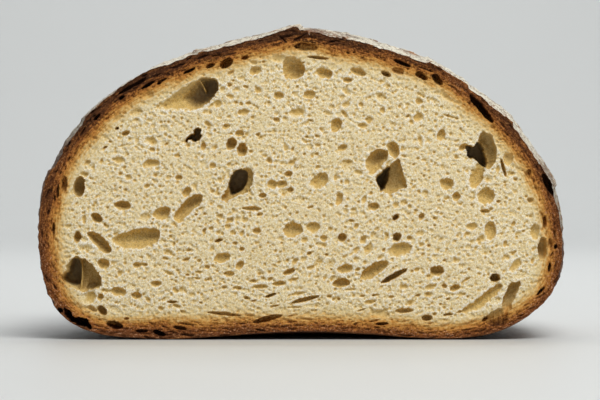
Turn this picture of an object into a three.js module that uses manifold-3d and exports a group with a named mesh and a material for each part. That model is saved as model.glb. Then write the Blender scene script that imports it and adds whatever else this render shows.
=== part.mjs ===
// Half of a free-standing sourdough loaf, cut straight across at its middle.
// Millimetres, +Z up. The cut face looks along -Y, the rounded end points along +Y,
// and the loaf rests on its flat base at z = 0. It was baked as one piece, so it is one mesh.

import * as THREE from "three";
import { mergeVertices } from "three/addons/utils/BufferGeometryUtils.js";
import Module from "manifold-3d";

// Driving dimensions of the loaf
const LENGTH = 150; // cut face to the tip of the rounded end
const WAIST_HEIGHT = 38; // height of the widest line of the loaf
const HALF_WIDTH = 85.5; // of the settled section a little behind the cut
const DOME_HEIGHT = 63.2; // crown above the waist, in the settled section
const BELLY_DEPTH = 39.5; // below the waist; the base trims it flat at z = 0
const DOME_ROUNDNESS = 1.85; // exponents of the settled section: 2 is an ellipse, more is boxier
const BELLY_ROUNDNESS = 3.2;

// How the section changes along the loaf
const SETTLE_LENGTH = 42; // the irregular cut outline fades into the settled section over this
const SWELL = 1.8; // the crust swells outward behind the cut edge by this much
const SWELL_LENGTH = 30;
const BASE_LIFT_START = 104; // the base leaves the surface here, on its way to the tip
const TIP_OFFSET = 4; // the tip leans a little to one side

// Facets
const AROUND = 72;
const ALONG = 24;
const PORE_SEGMENTS = 12;
const PORE_RINGS = 7;
const PORE_SINK = 0.22; // a pore's centre lies this share of its depth behind the cut

// The outline of the cut, [x, z], anticlockwise from the middle of the slightly arched base
const CUT_OUTLINE = [
  [0, 2.2], [24, 1.4], [44, 0], [60, 1.4], [73, 7.2], [81.5, 15.5], [85, 28], [84, 40],
  [82, 50], [78, 57], [70, 69.5], [60, 78.5], [48, 87], [33, 94.2], [17, 98.8], [2, 100.8],
  [-18, 97.8], [-36, 92.2], [-52, 86.3], [-65, 78], [-76, 65.5], [-82.5, 53], [-85, 41],
  [-84.3, 22], [-79.5, 9], [-70, 2.6], [-45, 0], [-22, 1],
];

// The larger pores that open in the cut: [x, z, half length, half thickness, tilt in degrees, depth]
const PORES = [
  [-38, 79, 8.4, 4.4, 22, 7], [-35.3, 66.5, 2.6, 2.5, 0, 3.5], [-19.8, 51.4, 6.2, 4, 38, 6],
  [24, 58.4, 4, 3.2, 20, 4.5], [28.5, 53, 5.2, 4.2, 62, 6], [29.6, 62, 1.8, 2.7, 0, 3],
  [59.4, 61.6, 5.4, 4, 64, 6.5], [56.2, 53.5, 2.8, 4.4, 0, 3.5], [66.8, 58.6, 1.6, 2, 0, 3],
  [59.6, 46.8, 2.8, 2.5, 0, 3], [-71.9, 21.6, 6.2, 4.8, 10, 6], [-66.2, 31.8, 5, 3, -42, 5],
  [-54, 33.2, 7.8, 2.9, -4, 5], [-46, 41, 3, 2.1, 15, 3], [-37.2, 42.8, 5.2, 2.5, 40, 5],
  [-72.3, 49.7, 3.1, 2, 80, 4.5], [-58.2, 43.5, 2.6, 1.5, 0, 2.5], [-2.8, 88.2, 3.8, 3.7, 0, 5],
  [7.2, 86.6, 3, 1.9, -12, 3], [-2.8, 35.7, 3.1, 2.6, 12, 4.5], [5.6, 51.6, 2.9, 2.5, 30, 3.5],
  [-23, 63.6, 1.8, 1.6, 70, 3.5], [-19.4, 61.8, 2.1, 1.6, 80, 4], [-24.6, 89.6, 2.4, 1.5, 30, 3.5],
  [46.8, 50.6, 2.4, 1.9, 10, 3], [61.1, 35.4, 2.9, 1.9, 80, 3.5], [77, 30, 3.6, 1.5, 84, 4.5],
  [23.8, 22.7, 5.4, 1.9, 30, 4], [30, 20.6, 4.4, 1.3, 27, 3.5], [12.9, 18.6, 2.8, 1.5, 0, 3],
  [14, 23, 2.7, 1.5, 10, 2.5], [43.9, 22.4, 2.4, 1.6, 0, 3.5], [57.5, 13.6, 8.2, 2.4, 33, 4.5],
  [68, 15.4, 4, 1.6, 52, 4], [-25.9, 26.6, 3, 1.6, 15, 3], [11.1, 69.8, 2.4, 1.8, 75, 3],
  [-8.8, 50.6, 2.9, 1.5, 0, 3], [-64.6, 10, 2, 1.6, 60, 3.5],
];

const CRUST = { color: 0xb98347, roughness: 0.9, metalness: 0 };

const clamp01 = (value) => Math.min(Math.max(value, 0), 1);
const smooth = (value) => clamp01(value) ** 2 * (3 - 2 * clamp01(value));

// A quarter of a superellipse: 1 at the start, 0 at the end
const taper = (share, flat, round) => (1 - clamp01(share) ** flat) ** (1 / round);

// Radius of the settled section from the waist's middle, in the direction (dx, dz)
function settledRadius(dx, dz) {
  const height = dz > 0 ? DOME_HEIGHT : BELLY_DEPTH;
  const power = dz > 0 ? DOME_ROUNDNESS : BELLY_ROUNDNESS;
  return (Math.abs(dx / HALF_WIDTH) ** power + Math.abs(dz / height) ** power) ** (-1 / power);
}

// Directions and radii of the cut outline, evenly spaced along it
function cutRays() {
  const points = CUT_OUTLINE.map(([x, z]) => new THREE.Vector3(x, 0, z));
  const curve = new THREE.CatmullRomCurve3(points, true, "centripetal");
  const rays = curve.getSpacedPoints(AROUND).slice(0, AROUND);
  return rays.map((point) => {
    const radius = Math.hypot(point.x, point.z - WAIST_HEIGHT);
    return { dx: point.x / radius, dz: (point.z - WAIST_HEIGHT) / radius, radius };
  });
}

// One point of the crust: on the given ray, at a distance behind the cut
function crustPoint(ray, distance) {
  const share = distance / LENGTH;
  const settled = smooth(distance / SETTLE_LENGTH);
  const swell = SWELL * (1 - (1 - clamp01(distance / SWELL_LENGTH)) ** 2) * smooth(ray.dz + 0.9);
  const radius = THREE.MathUtils.lerp(ray.radius, settledRadius(ray.dx, ray.dz), settled) + swell;
  const baseShare = (distance - BASE_LIFT_START) / (LENGTH - BASE_LIFT_START);
  const vertical = ray.dz > 0 ? taper(share, 2.7, 2) : taper(baseShare, 2.2, 2);
  const x = radius * ray.dx * taper(share, 3, 2.1) + TIP_OFFSET * share ** 3;
  const z = WAIST_HEIGHT + radius * ray.dz * vertical;
  return [x, distance, Math.max(z, 0)];
}

// The whole loaf without its pores: rings of crust, a flat cut face and a closed tip
function loafGeometry() {
  const rays = cutRays();
  const positions = [];
  for (let ring = 0; ring < ALONG; ring += 1) {
    const distance = LENGTH * (0.5 - 0.5 * Math.cos((Math.PI * ring) / ALONG));
    for (const ray of rays) {
      positions.push(...crustPoint(ray, distance));
    }
  }
  const cutMiddle = positions.length / 3;
  const tip = cutMiddle + 1;
  positions.push(0, 0, WAIST_HEIGHT, TIP_OFFSET, LENGTH, WAIST_HEIGHT);

  const faces = [];
  const lastRing = (ALONG - 1) * AROUND;
  for (let step = 0; step < AROUND; step += 1) {
    const next = (step + 1) % AROUND;
    faces.push(cutMiddle, step, next, tip, lastRing + next, lastRing + step);
    for (let ring = 0; ring < ALONG - 1; ring += 1) {
      const near = ring * AROUND;
      const far = near + AROUND;
      faces.push(near + step, far + step, near + next, near + next, far + step, far + next);
    }
  }
  const geometry = new THREE.BufferGeometry();
  geometry.setAttribute("position", new THREE.Float32BufferAttribute(positions, 3));
  geometry.setIndex(faces);
  return geometry;
}

// A pore is a flattened, tilted ball that the cut has opened
function poreGeometry([x, z, halfLength, halfThickness, tilt, depth]) {
  const geometry = new THREE.SphereGeometry(1, PORE_SEGMENTS, PORE_RINGS);
  geometry.scale(halfLength, depth, halfThickness);
  geometry.rotateY(-THREE.MathUtils.degToRad(tilt));
  geometry.translate(x, depth * PORE_SINK, z);
  return geometry;
}

const wasm = await Module();
wasm.setup();

function solidOf(geometry) {
  geometry.deleteAttribute("normal");
  geometry.deleteAttribute("uv");
  const merged = mergeVertices(geometry, 1e-4);
  const mesh = new wasm.Mesh({
    numProp: 3,
    vertProperties: new Float32Array(merged.attributes.position.array),
    triVerts: new Uint32Array(merged.index.array),
  });
  return new wasm.Manifold(mesh);
}

function geometryOf(solid) {
  const mesh = solid.getMesh();
  const geometry = new THREE.BufferGeometry();
  geometry.setAttribute("position", new THREE.BufferAttribute(mesh.vertProperties, 3));
  geometry.setIndex(new THREE.BufferAttribute(mesh.triVerts, 1));
  return geometry;
}

// Moves the origin to the middle of the loaf's length and width, at the base
function standOnOrigin(geometry) {
  geometry.computeBoundingBox();
  const middle = geometry.boundingBox.getCenter(new THREE.Vector3());
  geometry.translate(-middle.x, -middle.y, -geometry.boundingBox.min.z);
  geometry.computeVertexNormals();
  return geometry;
}

function sourdoughLoaf() {
  const pores = PORES.map((pore) => solidOf(poreGeometry(pore)));
  const opened = pores.reduce((loaf, pore) => loaf.subtract(pore), solidOf(loafGeometry()));
  const mesh = new THREE.Mesh(standOnOrigin(geometryOf(opened)), new THREE.MeshStandardMaterial(CRUST));
  mesh.name = "sourdough_loaf";
  return mesh;
}

const loaf = new THREE.Group();
loaf.add(sourdoughLoaf());

export default loaf;
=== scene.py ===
import math

import bpy
import numpy as np
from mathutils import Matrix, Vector
from mathutils.bvhtree import BVHTree


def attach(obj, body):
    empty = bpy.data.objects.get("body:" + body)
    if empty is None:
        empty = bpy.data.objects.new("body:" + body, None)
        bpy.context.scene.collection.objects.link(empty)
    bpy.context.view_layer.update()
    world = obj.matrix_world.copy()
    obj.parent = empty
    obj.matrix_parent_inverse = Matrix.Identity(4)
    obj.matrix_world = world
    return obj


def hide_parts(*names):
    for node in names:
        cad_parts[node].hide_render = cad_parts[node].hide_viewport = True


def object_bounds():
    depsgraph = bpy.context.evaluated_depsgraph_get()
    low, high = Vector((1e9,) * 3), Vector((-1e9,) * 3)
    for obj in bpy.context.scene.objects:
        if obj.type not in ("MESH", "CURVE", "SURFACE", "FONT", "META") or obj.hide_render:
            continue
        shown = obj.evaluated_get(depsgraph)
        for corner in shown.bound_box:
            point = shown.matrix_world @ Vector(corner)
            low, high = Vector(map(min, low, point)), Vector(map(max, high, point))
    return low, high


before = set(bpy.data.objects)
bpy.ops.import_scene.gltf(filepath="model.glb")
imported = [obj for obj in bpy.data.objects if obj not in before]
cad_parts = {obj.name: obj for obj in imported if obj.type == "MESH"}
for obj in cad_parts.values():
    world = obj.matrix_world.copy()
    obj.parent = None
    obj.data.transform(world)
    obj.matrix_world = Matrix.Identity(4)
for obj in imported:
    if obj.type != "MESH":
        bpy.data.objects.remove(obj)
CAD_BOX = [list(corner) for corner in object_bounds()]

bl_info = {
    "name": "Sourdough Loaf",
    "version": (1, 0, 0),
    "blender": (4, 5, 0),
    "location": "View3D > Sidebar > Loaf",
    "description": "Half of a sourdough loaf with its crust, its open crumb and a small studio",
    "category": "Object",
}

NODE = "sourdough_loaf"
BODY = "root"
MM = 0.001  # one millimetre in Blender's metres
SEED = 41  # every noise and every random draw starts from this plus a number of its own

# The loaf's frame, in millimetres: the cut face is the plane y = FRONT and the base stands at z = 0
FRONT = CAD_BOX[0][1] / MM
LENGTH = (CAD_BOX[1][1] - CAD_BOX[0][1]) / MM
HALF_WIDTH = CAD_BOX[1][0] / MM
TOP = CAD_BOX[1][2] / MM
WAIST = 0.364 * CAD_BOX[1][2] / MM  # height of the widest line, which the rings are centred on
DOME = TOP - WAIST  # height of the crown over it
TIP_GAP = 0.06  # the last ring stops this far short of the tip


# ---------------------------------------------------------------- settings


class LoafSizes(bpy.types.PropertyGroup):
    """Sizes of the crust and the crumb that a user would change."""

    crust_full: bpy.props.FloatProperty(
        name="Whole crust", description="Depth at which the crumb is pale", default=0.0068, unit="LENGTH"
    )
    lump: bpy.props.FloatProperty(
        name="Lumps", description="Height of the crust's broad lumps", default=0.0009, unit="LENGTH"
    )
    blister: bpy.props.FloatProperty(
        name="Blisters", description="Height of the crust's blisters", default=0.00034, unit="LENGTH"
    )
    cell: bpy.props.FloatProperty(
        name="Cell", description="Spacing of the cut face's mesh", default=0.00025, unit="LENGTH"
    )
    crust_cell: bpy.props.FloatProperty(
        name="Crust cell", description="Spacing of the crust's mesh", default=0.0007, unit="LENGTH"
    )
    small_pores: bpy.props.IntProperty(
        name="Small pores", description="Number of small pores in the cut", default=1350, min=0
    )
    middle_pores: bpy.props.IntProperty(
        name="Middle pores", description="Number of middle-sized pores", default=45, min=0
    )
    crust_pores: bpy.props.IntProperty(
        name="Crust pores", description="Number of flat pores in the cut crust", default=1500, min=0
    )


class LoafColours(bpy.types.PropertyGroup):
    """Colours of the bread, scene linear."""

    crumb: bpy.props.FloatVectorProperty(
        name="Crumb", description="Pale walls of the crumb", subtype="COLOR", default=(0.885, 0.74, 0.425)
    )
    # laid where the cut is hollow, this amber skin is also painted shade in the small pores
    pore: bpy.props.FloatVectorProperty(
        name="Pore", description="Skin inside the pores", subtype="COLOR", default=(0.66, 0.445, 0.15)
    )
    toast: bpy.props.FloatVectorProperty(
        name="Toast", description="Layer under the crust", subtype="COLOR", default=(0.42, 0.165, 0.036)
    )
    crust: bpy.props.FloatVectorProperty(
        name="Crust", description="Dark baked crust", subtype="COLOR", default=(0.040, 0.017, 0.009)
    )
    flour: bpy.props.FloatVectorProperty(
        name="Flour", description="Flour on the crust", subtype="COLOR", default=(0.80, 0.78, 0.68)
    )


def sizes():
    """The sizes that are set in this scene."""
    return bpy.context.scene.loaf_sizes


def colours():
    """The colours that are set in this scene."""
    return bpy.context.scene.loaf_colours


# ---------------------------------------------------------------- noise and small maths


class Noise:
    """Smooth gradient noise in three dimensions, the same on every run."""

    GAIN = 1.6  # brings the values to about -1 to 1

    def __init__(self, seed):
        rng = np.random.default_rng(seed)
        self.order = rng.permutation(256)
        gradients = rng.normal(size=(256, 3))
        self.gradients = gradients / np.linalg.norm(gradients, axis=1, keepdims=True)
        self.offset = rng.uniform(0, 256, 3)

    def __call__(self, points, cell):
        places = points / cell + self.offset
        corner = np.floor(places).astype(np.int64)
        inside = places - corner
        ease = inside**3 * (inside * (inside * 6 - 15) + 10)
        total = np.zeros(len(points))
        for step in np.ndindex(2, 2, 2):
            x, y, z = (corner + step).T & 255
            key = self.order[(self.order[(self.order[x] + y) & 255] + z) & 255]
            value = np.einsum("ij,ij->i", self.gradients[key], inside - step)
            weight = np.prod(np.where(step, ease, 1 - ease), axis=1)
            total += value * weight
        return total * self.GAIN


def smooth(low, high, value):
    """0 up to low, 1 from high on, and an even curve between. With low above high it falls instead."""
    share = np.clip((value - low) / (high - low), 0, 1)
    return share * share * (3 - 2 * share)


def blur(field, sigma, axis, wrap=False):
    """Gaussian blur of a table along one axis, wrapping round or holding its ends."""
    reach = int(3 * sigma) + 1
    offsets = np.arange(-reach, reach + 1)
    weights = np.exp(-0.5 * (offsets / sigma) ** 2)
    weights /= weights.sum()
    pad = [(0, 0), (0, 0)]
    pad[axis] = (reach, reach)
    padded = np.pad(field, pad, mode="wrap" if wrap else "edge")
    size = field.shape[axis]
    result = np.zeros_like(field)
    for index, weight in enumerate(weights):
        result += weight * np.take(padded, np.arange(index, index + size), axis=axis)
    return result


def blur_both(field, sigma):
    """Gaussian blur of a map along both of its axes."""
    return blur(blur(field, sigma, axis=0), sigma, axis=1)


# ---------------------------------------------------------------- the loaf's outer shape


class Shell:
    """The loaf's outer shape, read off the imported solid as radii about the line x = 0, z = WAIST."""

    ANGLES = 720
    STATIONS = 150
    FACET_BLUR = 3.2  # mm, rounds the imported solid's facets
    MEAN_RADIUS = 70  # mm, turns that blur into steps of the angle
    HEAD_FADE = 5  # mm over which the blurred rings are brought back to the cut's own outline
    FIRST_RAY = 0.02  # mm behind the cut, where the first ring is measured
    NARROWING = 0.3  # how fast the radius falls in front of the cut
    SLOPE_STEP = 0.03  # radians to each side, over which the section's slope is measured
    NUDGES = (0.003, 0.04, -0.04)  # mm, tried in turn where a ray slips between two facets

    def __init__(self, node):
        mesh = node.data
        points = [vertex.co / MM for vertex in mesh.vertices]
        tree = BVHTree.FromPolygons(points, [face.vertices[:] for face in mesh.polygons])
        self.lean = max(points, key=lambda point: point.y).x
        self.angles = np.arange(self.ANGLES) * (2 * math.pi / self.ANGLES) - math.pi / 2
        self.depths = LENGTH * np.sin(np.linspace(0, 1, self.STATIONS) * math.pi / 2)
        self.depths = np.minimum(self.depths, LENGTH - TIP_GAP)
        far = 2 * HALF_WIDTH
        table = np.zeros((self.STATIONS, self.ANGLES))
        for row, depth in enumerate(self.depths):
            y = FRONT + max(depth, self.FIRST_RAY)
            for column, angle in enumerate(self.angles):
                outward = Vector((math.cos(angle), 0, math.sin(angle)))
                start = Vector((self.middle(depth), y, WAIST)) + outward * far
                table[row, column] = far - self.gap(tree, start, -outward)
        around = self.FACET_BLUR / (2 * math.pi * self.MEAN_RADIUS / self.ANGLES)
        table = blur(table, around, axis=1, wrap=True)
        along = self.FACET_BLUR / (LENGTH / self.STATIONS * math.pi / 2)
        head = table[0]
        table = blur(table, along, axis=0)
        table += (head - table[0]) * np.exp(-self.depths / self.HEAD_FADE)[:, None]
        self.table = table

    def gap(self, tree, start, inward):
        """Distance from a point outside the loaf to its crust."""
        for nudge in self.NUDGES:
            hit = tree.ray_cast(start + Vector((nudge, nudge / 2, 0)), inward)
            if hit[0] is not None:
                return hit[3]
        raise RuntimeError(f"the loaf has no crust under {tuple(start)}")

    def middle(self, depth):
        """The line the rings are centred on leans to one side towards the tip."""
        return self.lean * np.clip(depth / LENGTH, 0, 1) ** 3

    def polar(self, points):
        """Angle round the middle line, depth behind the cut and distance from the line."""
        depth = points[:, 1] - FRONT
        across = points[:, 0] - self.middle(depth)
        up = points[:, 2] - WAIST
        return np.arctan2(up, across), depth, np.hypot(across, up)

    def radius(self, angle, depth):
        """Radius at angles and depths behind the cut; in front of it the loaf goes on narrowing."""
        column = (angle + math.pi / 2) / (2 * math.pi) * self.ANGLES
        low = np.floor(column).astype(int)
        part = column - low
        low %= self.ANGLES
        high = (low + 1) % self.ANGLES
        row = np.arcsin(np.clip(depth / LENGTH, 0, 1)) / (math.pi / 2) * (self.STATIONS - 1)
        near = np.minimum(row.astype(int), self.STATIONS - 2)
        step = row - near
        first = self.table[near, low] * (1 - part) + self.table[near, high] * part
        second = self.table[near + 1, low] * (1 - part) + self.table[near + 1, high] * part
        return first * (1 - step) + second * step + self.NARROWING * np.minimum(depth, 0)

    def below_crust(self, points):
        """How far points lie under the crust, measured square to the loaf's section."""
        angle, depth, distance = self.polar(points)
        radius = self.radius(angle, depth)
        step = self.SLOPE_STEP
        slope = (self.radius(angle + step, depth) - self.radius(angle - step, depth)) / (2 * step)
        square = radius / np.hypot(radius, slope)
        return (radius - distance) * square


RING_RADIUS = 74  # mm, the spacing round the rings is right at this radius
CROWN_STEPS = 2000  # steps that the crown's curve is measured in
FORE_RINGS = (-3.0, -2.0, -1.0)  # mm, rings in front of the cut, which the knife takes off


def rings(shell):
    """A grid of points over the crust: rows from just before the cut to near the tip."""
    spacing = sizes().crust_cell / MM * 1
    around = int(2 * math.pi * RING_RADIUS / spacing)
    angles = np.arange(around) * (2 * math.pi / around) - math.pi / 2
    # the rows are evenly spaced along the curve of the crown
    fine = np.sin(np.linspace(0, 1, CROWN_STEPS) * math.pi / 2) * (LENGTH - TIP_GAP)
    crown = shell.radius(np.full_like(fine, math.pi / 2), fine)
    travel = np.concatenate([[0], np.cumsum(np.hypot(np.diff(fine), np.diff(crown)))])
    rows = int(travel[-1] / spacing)
    depths = np.interp(np.linspace(0, travel[-1], rows), travel, fine)
    depths = np.concatenate([FORE_RINGS, depths])
    angle, depth = np.meshgrid(angles, depths)
    radius = shell.radius(angle.ravel(), depth.ravel()).reshape(angle.shape)
    across = shell.middle(depth) + radius * np.cos(angle)
    return np.stack([across, FRONT + depth, WAIST + radius * np.sin(angle)], axis=-1)


def outward_normals(points):
    """Directions square to a grid of points that goes round the loaf."""
    around = np.roll(points, -1, axis=1) - np.roll(points, 1, axis=1)
    along = np.gradient(points, axis=0)
    normals = np.cross(along, around)
    normals /= np.linalg.norm(normals, axis=-1, keepdims=True) + 1e-12
    return normals


# Edges of crust plates that run along the loaf, as they lie in the cut:
# x, z, height, which side stands proud (1 right of it, -1 left of it), and how far back it fades
PLATES = (
    (-1.2, 100.8, 1.5, -1, 90),
    (-33.5, 93.0, 0.7, 1, 60),
    (41.6, 91.0, 0.9, 1, 70),
    (54.6, 83.2, 0.8, -1, 45),
    (69.0, 70.8, 0.9, -1, 40),
    (82.6, 50.4, 1.2, -1, 50),
    (-81.5, 55.2, 0.7, -1, 50),
    (-70.5, 72.2, 0.5, 1, 55),
)
PLATE_FALL = 0.5  # mm over which a plate's edge drops
PLATE_BACK = 9.0  # mm over which a plate sinks back into the crust


def plate_relief(angle, depth, distance, points, noise):
    """Steps where one plate of crust stands over the next."""
    relief = np.zeros(len(points))
    sway = noise(points * (0.4, 1, 0.4), 22.0) * 0.05 * smooth(0, 15, depth)
    for x, z, height, side, fade in PLATES:
        start = math.atan2(z - WAIST, x)
        turn = (angle - start - sway + math.pi) % (2 * math.pi) - math.pi
        across = -turn * distance * side
        step = smooth(-PLATE_FALL, PLATE_FALL / 2, across) * np.exp(-np.maximum(across, 0) / PLATE_BACK)
        relief += height * step * np.exp(-((np.maximum(depth, 0) / fade) ** 2))
    return relief


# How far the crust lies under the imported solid, in millimetres, by angle round the waist in degrees:
# at the cut, where the knife pressed it in, and a little behind it
EDGE_ANGLES = (-40, -14, 5, 30, 50, 60, 80, 90, 105, 118, 124, 130, 137, 145, 170, 195, 215)
EDGE_DROP = (0.0, -0.6, 1.0, 1.9, 1.1, 1.7, 2.1, 0.4, 1.0, 0.6, -0.4, 0.8, 0.8, 0.9, 0.5, -0.6, 0.0)
BACK_DROP = (0.0, -0.6, 0.5, 1.3, 1.4, 1.2, 0.7, 0.4, 1.5, 1.5, 0.4, 0.1, 0.9, 0.9, 0.6, -0.6, 0.0)
EDGE_LENGTH = 2.6  # mm over which the pressed edge rises to the crust behind
BASE_LIFT = 0.7  # mm that the base's edge stands off the table at the cut

# How much deeper the baked layers reach than elsewhere, in millimetres, round the cut
BAKED_ANGLES = (-90, -60, -30, 10, 45, 75, 110, 140, 180, 200, 215, 240, 270)
BAKED_DEEPER = (-0.2, 0.0, 0.2, 0.0, -0.7, 0.0, 0.1, 0.5, 0.6, 1.2, 1.8, 1.0, -0.2)


def degrees_round(angle):
    """Angles round the waist in degrees, from -90 at the middle of the base to 270."""
    return (np.degrees(angle) + 90) % 360 - 90


def edge_drop(angle):
    """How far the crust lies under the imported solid, at the cut and behind it."""
    degrees = degrees_round(angle)
    return np.interp(degrees, EDGE_ANGLES, EDGE_DROP), np.interp(degrees, EDGE_ANGLES, BACK_DROP)


TEAR_DEPTH = 0.5  # mm, how deep the cracks between the floured plates are
TEAR_SPACING = 11.5  # mm, how far apart those plates lie
SCORE_WIDTH = 6.5  # mm from the slash's middle to its side
SCORE_DEPTH = 3.0  # mm
SCORE_LIP = 1.6  # mm, height of the ear that one side of the slash lifts to


def score_profile(angle, depth, distance, points, noise):
    """The slash along the crown: its floor, falling to 0 at its sides, and the lip on one side."""
    middle = math.pi / 2 - 0.03 + 0.10 * np.sin(depth / 34) + 0.05 * noise(points, 17.0)
    across = (angle - middle) * distance
    closing = smooth(132, 96, depth)  # towards the tip
    width = SCORE_WIDTH * smooth(10, 36, depth) * closing
    share = smooth(38, 64, depth) * closing
    width = width * (1 + 0.35 * noise(points, 6.0)) + 0.05
    lip = np.exp(-(((across / width - 1.0) / 0.28) ** 2)) * share * (1 + 0.4 * noise(points, 9.0))
    return 1 - smooth(0.35, 1.0, np.abs(across) / width), lip


def edge_gaps(points, spacing, seed):
    """How much nearer the nearest of many scattered centres is than the next, 0 between two plates."""
    shifts = np.random.default_rng(seed).uniform(0, 1, (16, 16, 16, 3))
    places = points / spacing
    corner = np.floor(places).astype(np.int64)
    first = np.full(len(points), np.inf)
    second = first.copy()
    for step in np.ndindex(3, 3, 3):
        cell = corner + step - 1
        x, y, z = cell.T & 15
        gap = np.linalg.norm(places - cell - shifts[x, y, z], axis=1)
        second = np.minimum(second, np.maximum(first, gap))
        first = np.minimum(first, gap)
    return (second - first) * spacing


def tears(points, depth):
    """Cracks between the plates of the floured crust: 1 in a crack."""
    torn = np.zeros(len(points))
    near = np.flatnonzero((points[:, 2] > 20) & (depth > 1))
    crown = points[near]
    bent = crown + 2.2 * np.stack([Noise(SEED + 11 + axis)(crown, 9.0) for axis in range(3)], axis=1)
    width = 0.35 + 1.15 * smooth(-0.3, 0.4, Noise(SEED + 14)(crown, 24.0))
    torn[near] = np.exp(-((edge_gaps(bent, TEAR_SPACING, SEED) / width) ** 2))
    return torn * smooth(20, 44, points[:, 2]) * (0.25 * smooth(1, 8, depth) + 0.75 * smooth(8, 30, depth))


def crust_relief(shell, points):
    """Height of the crust over the smooth shell, in millimetres."""
    angle, depth, distance = shell.polar(points)
    lumps = Noise(SEED)
    detail = Noise(SEED + 1)
    top = smooth(2, 16, points[:, 2])  # 0 at the base, which stays even
    relief = sizes().lump / MM * (lumps(points, 26.0) + 0.5 * lumps(points, 12.0))
    blisters = detail(points, 2.6) + 0.6 * detail(points, 1.5) + 0.7 * detail(points, 5.0)
    # the bare flanks have flatter blisters of their own
    blisters += 1.5 * detail(points * (0.6, 0.6, 1.4), 3.8) * (1 - smooth(25, 50, points[:, 2]))
    relief += sizes().blister / MM * np.maximum(blisters, -0.6) * (0.45 + 0.55 * top)
    relief += plate_relief(angle, depth, distance, points, lumps) * top
    score, lip = score_profile(angle, depth, distance, points, detail)
    ragged = 1 + 0.3 * detail(points, 3.0) + 0.12 * detail(points, 1.6)
    relief += (SCORE_LIP * lip - SCORE_DEPTH * score * ragged) * top
    relief -= TEAR_DEPTH * tears(points, depth) * (1 - score)
    edge, back = edge_drop(angle)
    pressed = np.exp(-np.maximum(depth, 0) / EDGE_LENGTH)
    relief = relief * (0.25 + 0.75 * top) - edge * pressed - back * (1 - pressed)
    return relief - BASE_LIFT * pressed * (1 - top)


# ---------------------------------------------------------------- the cut face

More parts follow.
